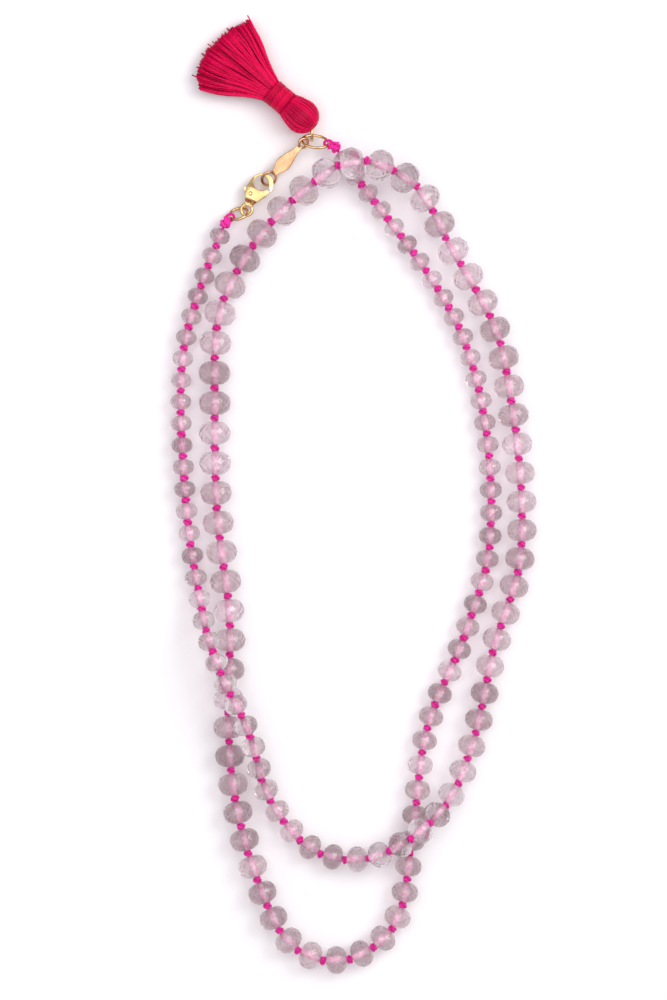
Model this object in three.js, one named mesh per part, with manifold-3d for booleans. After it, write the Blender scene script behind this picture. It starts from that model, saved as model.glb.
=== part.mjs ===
// Hand-knotted mala of graduated faceted stone beads, laid flat in a double loop, with a lobster clasp,
// a spoon-shaped connector tag, three wire rings and a silk tassel. Millimetres, +Z up, resting on Z = 0.
import * as THREE from 'three';
import { mergeVertices } from 'three/addons/utils/BufferGeometryUtils.js';
import Module from 'manifold-3d';

const wasm = await Module();
wasm.setup();

// ---- Driving dimensions ---------------------------------------------------------------------------

const END_BEAD = { diameter: 5.4, length: 4.1 };
const MIDDLE_BEAD = { diameter: 8.4, length: 6.5 };
const BEAD_SIDES = 8;
const BEAD_GIRDLE_SHARE = 0.34;
const BEAD_FACE_RADIUS = 0.95;
const LOOSE_BEADS_AT_EACH_END = 12;
const BEAD_RUNS = 18;

const CORD_DIAMETER = 0.76;
const CORD_SIDES = 8;
const BORE_SIDES = 6;
const BORE_CLEARANCE = 0.28;
const KNOT_LENGTH = 1.6;
const KNOT_RADIUS = 1.15;
const KNOT_SIDES = 6;
const KNOT_SINK = 0.3;
const KNOT_GAP = 0.15;
const END_KNOT_RADIUS = 1.4;
const KNOT_LOOP_RADIUS = 1.1;

const RING_WIRE_RADIUS = 0.4;
const CLASP_RING_RADIUS = 2.5;
const CLASP_RING_SLOPE = 52;
const CONNECTOR_RING = { across: 3.6, up: 2.45, slope: 45 };
const TASSEL_RING_RADIUS = 2.1;

const TAIL_LOOP = { radius: 1.5, wire: 0.42 };
const CLASP_THICKNESS = 3.2;
const HOOK_THICKNESS = 1.2;
const NECK_THICKNESS = 1.1;
const EYE = { x: 8.2, y: -0.55, radius: 2.05 };
const PIVOT = { x: 4.4, y: 0.9 };
const PIN_RADIUS = 0.4;
const PIN_LENGTH = 2.8;
const LEVER_THICKNESS = 1.2;
const LEVER_REACH = 5.1;
const SMALL_CLEARANCE = 0.15;
const SPRING = { thickness: 0.22, height: 1.7, width: 1.0 };

const CONNECTOR_THICKNESS = 1.0;
const CONNECTOR_EYE = { radius: 1.3, wire: 0.4 };
const CONNECTOR_LOOP = { across: 1.95, up: 2.4, wire: 0.4 };

const TASSEL_HEAD_RADIUS = 4.7;
const NECK = { start: 5.0, length: 5.6, coreRadius: 2.9, wrapRadius: 3.6 };
const SKIRT_THICKNESS = { neck: 5.4, middle: 6.4, hem: 3.4 };
const SOFT_GAP = 0.3;
const SLIVER = 0.06;

// The strand's centreline from the clasp end to the tassel end: [x, y, lift above its resting height].
const ROUTE = [
  [-35.2, 73.4, 0.5], [-42.0, 55.5, 0], [-46.4, 37.0, 0], [-45.4, -2.0, 0], [-42.6, -22.0, 0.4],
  [-39.2, -38.0, 6.4], [-34.2, -50.5, 9.6], [-28.6, -62.0, 7.4], [-22.8, -81.0, 0.4], [-11.5, -94.6, 0],
  [2.0, -97.2, 1.8], [15.2, -91.0, 8.6], [25.6, -80.8, 1.8], [32.4, -64.0, 0], [37.6, -40.0, 0],
  [44.4, -18.0, 0], [44.8, 3.0, 0], [42.4, 25.0, 0], [38.2, 45.0, 0], [26.0, 67.5, 0.2],
  [16.0, 84.6, 2.0], [0.0, 90.6, 8.1], [-13.4, 83.0, 2.4], [-27.0, 68.6, 0.1], [-36.4, 50.0, 0],
  [-37.6, 24.0, 0], [-37.0, -4.0, 0], [-33.6, -33.0, 0], [-34.0, -62.0, 0], [-31.8, -83.0, 0],
  [-26.0, -103.0, 0], [-16.8, -120.6, 0], [-3.0, -124.6, 0], [10.5, -115.5, 0], [15.3, -93.0, 0],
  [19.5, -62.0, 0], [30.0, -36.0, 0], [36.6, -10.0, 0], [29.8, 42.0, 0], [-4.7, 93.9, 0.9],
];

// Linked places on the findings, chosen so that each wire crosses the hole of the loop it holds.
const TAIL_CENTRE = new THREE.Vector3(-29.1, 77.8, 2.3);
const CLASP_HEADING = new THREE.Vector3(0.4236, 0.906, 0);
const CONNECTOR_RING_CENTRE = new THREE.Vector3(-10.6, 96.1, 3.8);
const CONNECTOR_RING_HEADING = new THREE.Vector3(0.99, -0.13, 0);
const LIMB_IN_LOOP = { x: 10.2, y: -1.9, rise: 0.05 };
const TASSEL_RING_OFFSET = new THREE.Vector3(0, 0.65, 0.8);
const TASSEL_HEAD_PLACE = new THREE.Vector3(-14.2, 102.9, TASSEL_HEAD_RADIUS);
const TASSEL_HEADING = new THREE.Vector3(-0.766, 0.643, -0.06).normalize();

// ---- Finishes -------------------------------------------------------------------------------------

const finish = (color, roughness, metalness) =>
  new THREE.MeshStandardMaterial({ color, roughness, metalness });
const ROSE_QUARTZ = () => finish(0xe4cbd6, 0.15, 0);
const PINK_SILK = () => finish(0xf81ea4, 0.7, 0);
const GOLD = () => finish(0xe0b060, 0.28, 1);
const TASSEL_SILK = () => finish(0xd80a46, 0.65, 0);

// ---- Solids ---------------------------------------------------------------------------------------

const UP = new THREE.Vector3(0, 0, 1);
const degrees = THREE.MathUtils.degToRad;

/** A three.js geometry, placed by a matrix, as a manifold solid. */
function solid(geometry, matrix = new THREE.Matrix4()) {
  const bare = geometry.clone().applyMatrix4(matrix);
  bare.deleteAttribute('normal');
  bare.deleteAttribute('uv');
  const merged = mergeVertices(bare, 1e-5);
  return new wasm.Manifold(new wasm.Mesh({
    numProp: 3,
    vertProperties: merged.attributes.position.array,
    triVerts: new Uint32Array(merged.index.array),
  }));
}

/** The surface of a manifold solid as a three.js geometry, without the slivers that its joins left. */
function surface(made) {
  const mesh = made.asOriginal().simplify(SLIVER).getMesh();
  const geometry = new THREE.BufferGeometry();
  geometry.setAttribute('position', new THREE.BufferAttribute(mesh.vertProperties, 3));
  geometry.setIndex(new THREE.BufferAttribute(mesh.triVerts, 1));
  const flat = geometry.toNonIndexed();
  flat.computeVertexNormals();
  return flat;
}

/** A frame at a place, with local Y along one direction and local Z as near another as it goes. */
function frameAlongY(place, along, towards = UP) {
  const y = along.clone().normalize();
  const x = y.clone().cross(towards).normalize();
  const z = x.clone().cross(y);
  return new THREE.Matrix4().makeBasis(x, y, z).setPosition(place);
}

/** A frame at a place, with local X along one direction and local Z as near another as it goes. */
function frameAlongX(place, along, towards = UP) {
  const x = along.clone().normalize();
  const y = towards.clone().cross(x).normalize();
  const z = x.clone().cross(y);
  return new THREE.Matrix4().makeBasis(x, y, z).setPosition(place);
}

/** A body of revolution about local Y, its flats facing along X and Z. */
function turned(profile, sides) {
  const points = profile.map(([radius, along]) => new THREE.Vector2(radius, along));
  return new THREE.LatheGeometry(points, sides, Math.PI / sides);
}

/** A wire ring in the local XZ plane, stretched to an oval along X without thinning its wire. */
function wireRing(across, up, wire, turns = 18, sides = 6) {
  const profile = [];
  for (let i = 0; i <= sides; i += 1) {
    const angle = degrees(-360 * (i + 0.5) / sides);
    profile.push(new THREE.Vector2(up + wire * Math.cos(angle), -wire * Math.sin(angle)));
  }
  const ring = new THREE.LatheGeometry(profile, turns);
  const places = ring.attributes.position;
  for (let i = 0; i < places.count; i += 1) {
    const angle = Math.atan2(places.getX(i), places.getZ(i));
    places.setX(i, places.getX(i) + (across - up) * Math.sin(angle));
  }
  return ring;
}

/** A plate: an outline in local XY, pushed from one height to another along Z. */
function plate(outline, low, high) {
  const shape = new THREE.Shape(outline.map(([x, y]) => new THREE.Vector2(x, y)));
  const geometry = new THREE.ExtrudeGeometry(shape, { depth: high - low, bevelEnabled: false });
  return geometry.translate(0, 0, low);
}

/** A rod along local Z. */
function rod(x, y, radius, low, high, sides = 12) {
  const geometry = new THREE.CylinderGeometry(radius, radius, high - low, sides);
  return geometry.rotateX(Math.PI / 2).translate(x, y, (low + high) / 2);
}

/** A plate whose thickness follows a side outline, given as [x, half thickness] stations. */
function tapered(outline, stations) {
  const side = [...stations, ...stations.map(([x, half]) => [x, -half]).reverse()];
  const reach = 20;
  const upright = plate(side, -reach, reach).rotateX(Math.PI / 2);
  return solid(plate(outline, -reach, reach)).intersect(solid(upright));
}

/** A smooth closed outline through a few points. */
function smoothOutline(points, divisions) {
  const curve = new THREE.CatmullRomCurve3(
    points.map(([x, y]) => new THREE.Vector3(x, y, 0)), true, 'centripetal');
  return curve.getPoints(divisions).slice(0, -1).map((p) => [p.x, p.y]);
}

// ---- The strand: knots along the route, one bead between each two ---------------------------------

const route = new THREE.CatmullRomCurve3(
  ROUTE.map((p) => new THREE.Vector3(...p)), false, 'centripetal');
route.arcLengthDivisions = 4000;
const routeLength = route.getLength();

/** The size of a bead at a share of the strand: the beads grow from both ends to the middle. */
function beadAt(share) {
  const growth = Math.sin(Math.PI * share) ** 2;
  const grow = (key) => THREE.MathUtils.lerp(END_BEAD[key], MIDDLE_BEAD[key], growth);
  return { radius: grow('diameter') / 2, length: grow('length') };
}

/** As many beads as the route takes, each with its knot. */
function threadBeads() {
  const fill = (count) => Array.from({ length: count }, (_, i) => beadAt((i + 0.5) / count));
  const taken = (beads) => beads.reduce((sum, bead) => sum + bead.length + KNOT_LENGTH, 0);
  let count = 2 * LOOSE_BEADS_AT_EACH_END + BEAD_RUNS;
  while (taken(fill(count + 1)) <= routeLength) count += 1;
  const beads = fill(count);
  const slack = (routeLength - taken(beads)) / count;
  return beads.map((bead) => ({ ...bead, pitch: bead.length + KNOT_LENGTH + slack }));
}

const beads = threadBeads();
const cornerRatio = 1 / Math.cos(Math.PI / BEAD_SIDES);
const isLoose = (i) => i < LOOSE_BEADS_AT_EACH_END || i >= beads.length - LOOSE_BEADS_AT_EACH_END;
// A loose bead can turn, so its corners clear the floor. A bead in a run rests on its lowest facet.
const restingHeight = (i) => beads[i].radius * (isLoose(i) ? cornerRatio : 1);

/** The places of the knots, from one end of the strand to the other. */
function knotPlaces() {
  const places = [];
  let travelled = 0;
  for (let i = 0; i <= beads.length; i += 1) {
    const place = route.getPointAt(Math.min(travelled / routeLength, 1));
    const before = restingHeight(Math.max(i - 1, 0));
    const after = restingHeight(Math.min(i, beads.length - 1));
    const lift = Math.max(place.z, 0);
    place.z = lift + (before + after) / 2;
    places.push(place);
    travelled += i < beads.length ? beads[i].pitch : 0;
  }
  return places;
}

const knots = knotPlaces();
const lastKnot = knots.length - 1;
const beadFrame = (i) => frameAlongY(
  knots[i].clone().lerp(knots[i + 1], 0.5), knots[i + 1].clone().sub(knots[i]));
const boreRadius = CORD_DIAMETER / 2 + BORE_CLEARANCE;
const knotFrame = (i) => frameAlongY(
  knots[i], knots[Math.min(i + 1, lastKnot)].clone().sub(knots[Math.max(i - 1, 0)]));

/** A path that runs straight from point to point, with a station at each. */
class StraightPath extends THREE.Curve {
  constructor(points) {
    super();
    this.points = points;
  }

  getPoint(share) {
    const at = THREE.MathUtils.clamp(share, 0, 1) * (this.points.length - 1);
    const i = Math.min(Math.floor(at), this.points.length - 2);
    return this.points[i].clone().lerp(this.points[i + 1], at - i);
  }

  getPointAt(share) {
    return this.getPoint(share);
  }

  getTangentAt(share) {
    return this.getTangent(share);
  }
}

/** A tube through the given points. */
function tube(points, radius, sides) {
  const outline = [];
  for (let i = 0; i < sides; i += 1) {
    const angle = degrees(360 * i / sides);
    outline.push(new THREE.Vector2(radius * Math.cos(angle), radius * Math.sin(angle)));
  }
  return new THREE.ExtrudeGeometry(new THREE.Shape(outline), {
    steps: points.length - 1,
    extrudePath: new StraightPath(points),
    bevelEnabled: false,
  });
}

/** The outer stations of a bead: flat faces at the bore, two cones and a girdle of upright facets. */
function beadProfile({ radius, length }) {
  const corner = radius * cornerRatio;
  const girdle = BEAD_GIRDLE_SHARE * length / 2;
  const end = length / 2;
  return [[BEAD_FACE_RADIUS, -end], [corner, -girdle], [corner, girdle], [BEAD_FACE_RADIUS, end]];
}

/** One bead with its own bore, free to turn on the cord. */
function looseBead(i) {
  const outer = beadProfile(beads[i]);
  const end = beads[i].length / 2;
  const closed = [[boreRadius, -end], ...outer, [boreRadius, end], [boreRadius, -end]];
  return turned(closed, BEAD_SIDES);
}

/** Neighbouring beads and the knots between them as one bored solid. */
function beadRun(first, last) {
  let run = null;
  for (let i = first; i <= last; i += 1) {
    const end = beads[i].length / 2;
    const bead = solid(turned([[0, -end], ...beadProfile(beads[i]), [0, end]], BEAD_SIDES), beadFrame(i));
    run = run ? run.add(bead) : bead;
    if (i > first) {
      const half = KNOT_LENGTH / 2 + KNOT_SINK;
      const knot = turned([[0, -half], [KNOT_RADIUS, -half], [KNOT_RADIUS, half], [0, half]], KNOT_SIDES);
      run = run.add(solid(knot, knotFrame(i)));
    }
  }
  const boreCorner = boreRadius / Math.cos(Math.PI / BORE_SIDES);
  return run.subtract(solid(tube(knots.slice(first, last + 2), boreCorner, BORE_SIDES)));
}

/** The first and last bead of each run: the beads between the loose ones, shared out evenly. */
function runSpans() {
  const joined = beads.length - 2 * LOOSE_BEADS_AT_EACH_END;
  const start = (run) => LOOSE_BEADS_AT_EACH_END + Math.round(run * joined / BEAD_RUNS);
  return Array.from({ length: BEAD_RUNS }, (_, run) => [start(run), start(run + 1) - 1]);
}

/** The silk cord, with a knot beside every loose bead and between every two runs. */
function silkCord(spans) {
  const knotStart = KNOT_LENGTH / 2;
  const points = knots.map((p) => p.clone());
  points[0].add(knots[1].clone().sub(knots[0]).setLength(knotStart));
  points[lastKnot].add(knots[lastKnot - 1].clone().sub(knots[lastKnot]).setLength(knotStart));
  let cord = solid(tube(points, CORD_DIAMETER / 2, CORD_SIDES));
  const inRun = new Set(spans.flatMap(([a, b]) => Array.from({ length: b - a }, (_, i) => a + 1 + i)));
  const tip = (KNOT_LENGTH / 2 - KNOT_GAP) / (1 - CORD_DIAMETER / 2 / KNOT_RADIUS);
  for (let i = 1; i < lastKnot; i += 1) {
    if (!inRun.has(i)) {
      const knot = turned([[0, -tip], [KNOT_RADIUS, 0], [0, tip]], KNOT_SIDES);
      cord = cord.add(solid(knot, knotFrame(i)));
    }
  }
  return cord;
}

/** A lumpy end knot beside the strand's last bead, with a cord loop round a ring's wire. */
function endKnot(end, inner, wirePlace, wireHeading) {
  const away = end.clone().sub(inner).normalize();
  const centre = end.clone().addScaledVector(away, END_KNOT_RADIUS - KNOT_LENGTH / 2 + 2 * KNOT_GAP);
  const ball = new THREE.SphereGeometry(END_KNOT_RADIUS, 10, 7);
  const loop = wireRing(KNOT_LOOP_RADIUS, KNOT_LOOP_RADIUS, CORD_DIAMETER / 2, 14);
  return solid(ball, frameAlongX(centre, away)).add(solid(loop, frameAlongY(wirePlace, wireHeading)));
}

// ---- The clasp, in its own frame: X from the tail loop to the hook, Y to the thumb nub ------------

const CLASP_OUTLINE = [
  [1.2, 0.7], [2.6, 1.75], [4.4, 2.45], [6.6, 2.55], [8.8, 2.15], [10.3, 1.0], [11.1, -0.7],
  [10.7, -2.5], [9.3, -3.65], [7.6, -4.0], [5.7, -3.3], [4.0, -2.3], [2.4, -1.35], [1.2, -0.7],
];
const LEVER_OUTLINE = [
  [3.75, 1.35], [4.3, 2.0], [4.7, 3.3], [5.7, 3.3], [5.45, 2.0], [5.3, 0.9], [5.6, -0.4], [6.1, -1.5],
  [7.2, -2.55], [7.15, -3.35], [6.6, -3.7], [5.8, -3.1], [5.0, -2.0], [4.2, -0.6], [3.75, 0.4],
];
const LEVER_SLOT = [
  [3.0, -0.4], [3.0, 4.0], [6.2, 4.0], [6.2, 0.9], [7.4, 0.0], [7.4, -2.2], [7.0, -5.0], [5.9, -5.0],
  [4.6, -2.9], [3.4, -0.9],
];
const MOUTH = [[5.9, -1.9], [10.0, -1.9], [10.0, -5.2], [5.9, -5.2]];
const CLASP_STATIONS = [
  [0.9, NECK_THICKNESS / 2], [1.9, NECK_THICKNESS / 2], [3.0, CLASP_THICKNESS / 2],
  [6.0, CLASP_THICKNESS / 2], [8.9, HOOK_THICKNESS / 2], [12.0, HOOK_THICKNESS / 2],
];

/** The hollow body with its hook, lever slot and tail loop. */
function claspBody() {
  const half = CLASP_THICKNESS;
  const slot = LEVER_THICKNESS / 2 + SMALL_CLEARANCE;
  const reach = LEVER_REACH + SMALL_CLEARANCE;
  const mouth = solid(plate(MOUTH, -half, half)).intersect(
    solid(rod(PIVOT.x, PIVOT.y, reach, -half, half, 48)));
  const neck = plate([[0.9, -0.7], [1.6, -0.7], [1.6, 0.7], [0.9, 0.7]],
    -NECK_THICKNESS / 2, NECK_THICKNESS / 2);
  const tail = wireRing(TAIL_LOOP.radius, TAIL_LOOP.radius, TAIL_LOOP.wire);
  return tapered(CLASP_OUTLINE, CLASP_STATIONS)
    .subtract(solid(rod(EYE.x, EYE.y, EYE.radius, -half, half, 24)))
    .subtract(mouth)
    .subtract(solid(plate(LEVER_SLOT, -slot, slot)))
    .subtract(solid(rod(PIVOT.x, PIVOT.y, PIN_RADIUS + SMALL_CLEARANCE, -half, half)))
    .add(solid(neck))
    .add(solid(tail, frameAlongY(new THREE.Vector3(), UP, new THREE.Vector3(1, 0, 0))));
}

/** The sprung lever: thumb nub outside, arm along the eye, tip against the hook's end. */
function claspLever() {
  const half = LEVER_THICKNESS / 2;
  const hole = rod(PIVOT.x, PIVOT.y, PIN_RADIUS + SMALL_CLEARANCE, -half - 1, half + 1);
  return solid(plate(LEVER_OUTLINE, -half, half))
    .intersect(solid(rod(PIVOT.x, PIVOT.y, LEVER_REACH, -half, half, 48)))
    .subtract(solid(hole));
}

/** The leaf spring behind the lever's heel, inside the slot. */
function claspSpring() {
  const left = 3.0 + SMALL_CLEARANCE;
  const low = 0.1;
  const right = left + SPRING.thickness;
  const high = low + SPRING.height;
  return plate([[left, low], [right, low], [right, high], [left, high]],
    -SPRING.width / 2, SPRING.width / 2);
}

// ---- The findings in place ------------------------------------------------------------------------

const claspFrame = frameAlongX(TAIL_CENTRE, CLASP_HEADING);
const inClasp = (x, y, z = 0) => new THREE.Vector3(x, y, z).applyMatrix4(claspFrame);

// Each ring plane holds the line between its two links and a wire direction that climbs at a slope.
const fromKnotToTail = new THREE.Vector3(0.9, 0.434, -0.2).normalize();
const climb = (heading, slope) => {
  const level = heading.clone().cross(UP).setLength(Math.cos(degrees(slope)));
  return level.addScaledVector(UP, Math.sin(degrees(slope)));
};
const claspRingWire = climb(fromKnotToTail, CLASP_RING_SLOPE);
const claspRingCentre = TAIL_CENTRE.clone().addScaledVector(fromKnotToTail, -CLASP_RING_RADIUS);
const knotOnClaspRing = TAIL_CENTRE.clone().addScaledVector(fromKnotToTail, -2 * CLASP_RING_RADIUS);

const connectorRingWire = climb(CONNECTOR_RING_HEADING, CONNECTOR_RING.slope);
/** A place on the connector ring's wire, at an angle from the strand's end of it. */
function onConnectorRing(angle) {
  return CONNECTOR_RING_CENTRE.clone()
    .addScaledVector(CONNECTOR_RING_HEADING, CONNECTOR_RING.across * Math.cos(degrees(angle)))
    .addScaledVector(connectorRingWire, CONNECTOR_RING.up * Math.sin(degrees(angle)));
}
const connectorEyePlace = onConnectorRing(150);
const connectorLoopPlace = inClasp(LIMB_IN_LOOP.x, LIMB_IN_LOOP.y, LIMB_IN_LOOP.rise);
const tasselLink = onConnectorRing(252);
const tasselRingCentre = tasselLink.clone().add(TASSEL_RING_OFFSET);

/** The connector tag: a hammered spoon between an eye and an oval loop, in its own frame. */
function connectorTag() {
  const frame = frameAlongX(connectorEyePlace, connectorLoopPlace.clone().sub(connectorEyePlace));
  const span = connectorEyePlace.distanceTo(connectorLoopPlace);
  const inner = CONNECTOR_EYE.radius - CONNECTOR_EYE.wire / 2;
  const outer = span - CONNECTOR_LOOP.across;
  const outline = smoothOutline([
    [inner, 0.55], [inner + 2.0, 0.95], [outer - 3.6, 1.95], [outer - 1.2, 1.15], [outer, 0.6],
    [outer, -0.6], [outer - 1.2, -1.15], [outer - 3.6, -1.95], [inner + 2.0, -0.95], [inner, -0.55],
  ], 26);
  const body = plate(outline, -CONNECTOR_THICKNESS / 2, CONNECTOR_THICKNESS / 2);
  const eye = wireRing(CONNECTOR_EYE.radius, CONNECTOR_EYE.radius, CONNECTOR_EYE.wire);
  const eyeNormal = new THREE.Vector3(0.42, -0.39, 0.82);
  const limb = new THREE.Vector3(-0.481, 0.876, 0);
  const loopNormal = UP.clone().multiplyScalar(0.669).addScaledVector(limb, -0.743);
  const loop = wireRing(CONNECTOR_LOOP.across, CONNECTOR_LOOP.up, CONNECTOR_LOOP.wire);
  return solid(body, frame)
    .add(solid(eye, frameAlongY(connectorEyePlace, eyeNormal)))
    .add(solid(loop, frameAlongY(connectorLoopPlace, loopNormal, limb)));
}

// ---- The tassel, in its own frame: X from the head to the hem, Y to its left ----------------------

const tasselFrame = frameAlongX(TASSEL_HEAD_PLACE, TASSEL_HEADING);
const tasselRingFrame = frameAlongY(tasselRingCentre, new THREE.Vector3(1, 0, 0));
const SKIRT_START = NECK.start + NECK.length + SOFT_GAP;
const SKIRT_OUTLINE = [
  [SKIRT_START, 3.1], [14.0, 4.9], [20.0, 8.2], [26.0, 11.8], [28.6, 9.6], [30.3, 5.6], [30.4, 0.0],
  [29.6, -5.6], [28.0, -10.6], [21.0, -7.6], [14.0, -4.6], [SKIRT_START, -3.1],
];

/** The looped head with its neck core, pierced for the tassel ring. */
function tasselHead() {
  const core = new THREE.CylinderGeometry(NECK.coreRadius, NECK.coreRadius, NECK.start + NECK.length, 16)
    .rotateZ(Math.PI / 2)
    .translate((NECK.start + NECK.length) / 2, 0, 0);
  const pocket = wireRing(TASSEL_RING_RADIUS, TASSEL_RING_RADIUS, RING_WIRE_RADIUS + SOFT_GAP);
  return solid(new THREE.SphereGeometry(TASSEL_HEAD_RADIUS, 16, 10), tasselFrame)
    .add(solid(core, tasselFrame))
    .subtract(solid(pocket, tasselRingFrame));
}

/** The thread wound round the neck. */
function tasselWrap() {
  const inner = NECK.coreRadius + SOFT_GAP;
  const from = NECK.start;
  const to = NECK.start + NECK.length;
  const outer = NECK.wrapRadius;
  const profile = [[inner, from], [outer, from], [outer, to], [inner, to], [inner, from]];
  return solid(turned(profile, 16).rotateZ(-Math.PI / 2), tasselFrame);
}

/** The fan of hanging threads, thinning towards its hem. */
function tasselSkirt() {
  const { neck, middle, hem } = SKIRT_THICKNESS;
  const stations = [[SKIRT_START, neck / 2], [17.0, middle / 2], [26.0, hem / 2 + 0.4], [31.0, hem / 2]];
  return tapered(SKIRT_OUTLINE, stations);
}

// ---- Assembly -------------------------------------------------------------------------------------

const mala = new THREE.Group();

/** Adds one named piece, placed by a matrix. */
function place(name, geometry, material, matrix = new THREE.Matrix4()) {
  const mesh = new THREE.Mesh(geometry, material);
  mesh.name = name;
  mesh.applyMatrix4(matrix);
  mala.add(mesh);
}

const numbered = (stem, n, digits) => `${stem}_${String(n).padStart(digits, '0')}`;
const spans = runSpans();

beads.forEach((_, i) => {
  if (isLoose(i)) place(numbered('bead', i + 1, 3), looseBead(i), ROSE_QUARTZ(), beadFrame(i));
});
spans.forEach(([first, last], run) => {
  place(numbered('bead_run', run + 1, 2), surface(beadRun(first, last)), ROSE_QUARTZ());
});
place('silk_cord', surface(silkCord(spans)), PINK_SILK());
place('end_knot_clasp_side',
  surface(endKnot(knots[0], knots[1], knotOnClaspRing, claspRingWire)), PINK_SILK());
place('end_knot_tassel_side',
  surface(endKnot(knots[lastKnot], knots[lastKnot - 1], onConnectorRing(0), connectorRingWire)),
  PINK_SILK());

place('clasp_ring', wireRing(CLASP_RING_RADIUS, CLASP_RING_RADIUS, RING_WIRE_RADIUS), GOLD(),
  frameAlongY(claspRingCentre, fromKnotToTail.clone().cross(claspRingWire)));
place('clasp_body', surface(claspBody()), GOLD(), claspFrame);
place('clasp_lever', surface(claspLever()), GOLD(), claspFrame);
place('clasp_pin', rod(PIVOT.x, PIVOT.y, PIN_RADIUS, -PIN_LENGTH / 2, PIN_LENGTH / 2), GOLD(), claspFrame);
place('clasp_spring', claspSpring(), GOLD(), claspFrame);
place('connector_tag', surface(connectorTag()), GOLD());
const connectorRingAxis = connectorRingWire.clone().cross(CONNECTOR_RING_HEADING);
place('connector_ring',
  wireRing(CONNECTOR_RING.across, CONNECTOR_RING.up, RING_WIRE_RADIUS, 24), GOLD(),
  frameAlongY(CONNECTOR_RING_CENTRE, connectorRingAxis, connectorRingWire));
place('tassel_ring', wireRing(TASSEL_RING_RADIUS, TASSEL_RING_RADIUS, RING_WIRE_RADIUS), GOLD(),
  tasselRingFrame);
place('tassel_head', surface(tasselHead()), TASSEL_SILK());
place('tassel_neck_wrap', surface(tasselWrap()), TASSEL_SILK());
place('tassel_skirt', surface(tasselSkirt()), TASSEL_SILK(), tasselFrame);

const bounds = new THREE.Box3().setFromObject(mala, true);
const middle = bounds.getCenter(new THREE.Vector3());
mala.position.set(-middle.x, -middle.y, -bounds.min.z);
mala.updateMatrixWorld(true);

export default mala;
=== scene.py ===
"""A hand-knotted mala of rose quartz on pink silk, laid flat in a double loop, with gold findings and tassel.

The strand's route and the sizes of its pieces are in millimetres, and every mesh is made in metres.
"""

import logging
import math
import random
from dataclasses import dataclass, field
from enum import Enum

import bmesh
import bpy
import numpy as np
from mathutils import Matrix, Vector


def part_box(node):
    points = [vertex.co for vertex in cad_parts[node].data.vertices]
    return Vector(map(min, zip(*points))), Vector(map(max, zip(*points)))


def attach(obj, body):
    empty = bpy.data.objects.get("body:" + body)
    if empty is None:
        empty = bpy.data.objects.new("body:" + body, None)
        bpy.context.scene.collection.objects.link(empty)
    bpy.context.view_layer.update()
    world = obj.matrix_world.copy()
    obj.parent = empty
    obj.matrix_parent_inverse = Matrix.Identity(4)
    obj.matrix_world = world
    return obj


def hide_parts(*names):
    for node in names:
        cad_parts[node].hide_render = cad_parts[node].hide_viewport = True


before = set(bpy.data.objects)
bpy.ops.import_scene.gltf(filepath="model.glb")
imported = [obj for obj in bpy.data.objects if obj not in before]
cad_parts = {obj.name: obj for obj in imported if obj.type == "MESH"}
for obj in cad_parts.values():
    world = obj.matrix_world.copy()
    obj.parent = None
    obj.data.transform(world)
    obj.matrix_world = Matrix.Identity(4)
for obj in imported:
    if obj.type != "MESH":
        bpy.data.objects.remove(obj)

LOG = logging.getLogger("mala")
MM = 0.001
UP = Vector((0.0, 0.0, 1.0))

# The strand's centreline from the clasp end to the tassel end: (x, y, lift above its resting height).
ROUTE = (
    (-35.2, 73.4, 0.5), (-42.0, 55.5, 0.0), (-46.4, 37.0, 0.0), (-45.4, -2.0, 0.0), (-42.6, -22.0, 0.4),
    (-39.2, -38.0, 6.4), (-34.2, -50.5, 9.6), (-28.6, -62.0, 7.4), (-22.8, -81.0, 0.4), (-11.5, -94.6, 0.0),
    (2.0, -97.2, 1.8), (15.2, -91.0, 8.6), (25.6, -80.8, 1.8), (32.4, -64.0, 0.0), (37.6, -40.0, 0.0),
    (44.4, -18.0, 0.0), (44.8, 3.0, 0.0), (42.4, 25.0, 0.0), (38.2, 45.0, 0.0), (26.0, 67.5, 0.2),
    (16.0, 84.6, 2.0), (0.0, 90.6, 8.1), (-13.4, 83.0, 2.4), (-27.0, 68.6, 0.1), (-36.4, 50.0, 0.0),
    (-37.6, 24.0, 0.0), (-37.0, -4.0, 0.0), (-33.6, -33.0, 0.0), (-34.0, -62.0, 0.0), (-31.8, -83.0, 0.0),
    (-26.0, -103.0, 0.0), (-16.8, -120.6, 0.0), (-3.0, -124.6, 0.0), (10.5, -115.5, 0.0), (15.3, -93.0, 0.0),
    (19.5, -62.0, 0.0), (30.0, -36.0, 0.0), (36.6, -10.0, 0.0), (29.8, 42.0, 0.0), (-4.7, 93.9, 0.9),
)
TAIL_CENTRE = Vector((-29.1, 77.8, 2.3))
CLASP_HEADING = Vector((0.4236, 0.906, 0.0)).normalized()
CLASP_PIVOT = (4.4, 0.9)
CONNECTOR_RING_CENTRE = Vector((-10.6, 96.1, 3.8))
CONNECTOR_RING_HEADING = Vector((0.99, -0.13, 0.0))
CLASP_GRAIN = 0.07
TAG_GRAIN = 0.08
STRIP_WIDTH = 0.35
TASSEL_HEAD_PLACE = Vector((-14.2, 102.9, 4.7))
TASSEL_HEADING = Vector((-0.766, 0.643, -0.06)).normalized()


class Body(Enum):
    """The moving groups that the pieces ride on."""

    STRAND = "strand"
    CLASP_RING = "clasp_ring"
    CLASP = "clasp"
    LEVER = "lever"
    CONNECTOR = "connector"
    CONNECTOR_RING = "connector_ring"
    TASSEL = "tassel"


class Slot(Enum):
    """The record's material slots."""

    STONE = "rose_quartz"
    SILK = "pink_silk"
    GOLD = "gold"
    THREAD = "tassel_thread"


# ---- Frames ---------------------------------------------------------------------------------------


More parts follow.
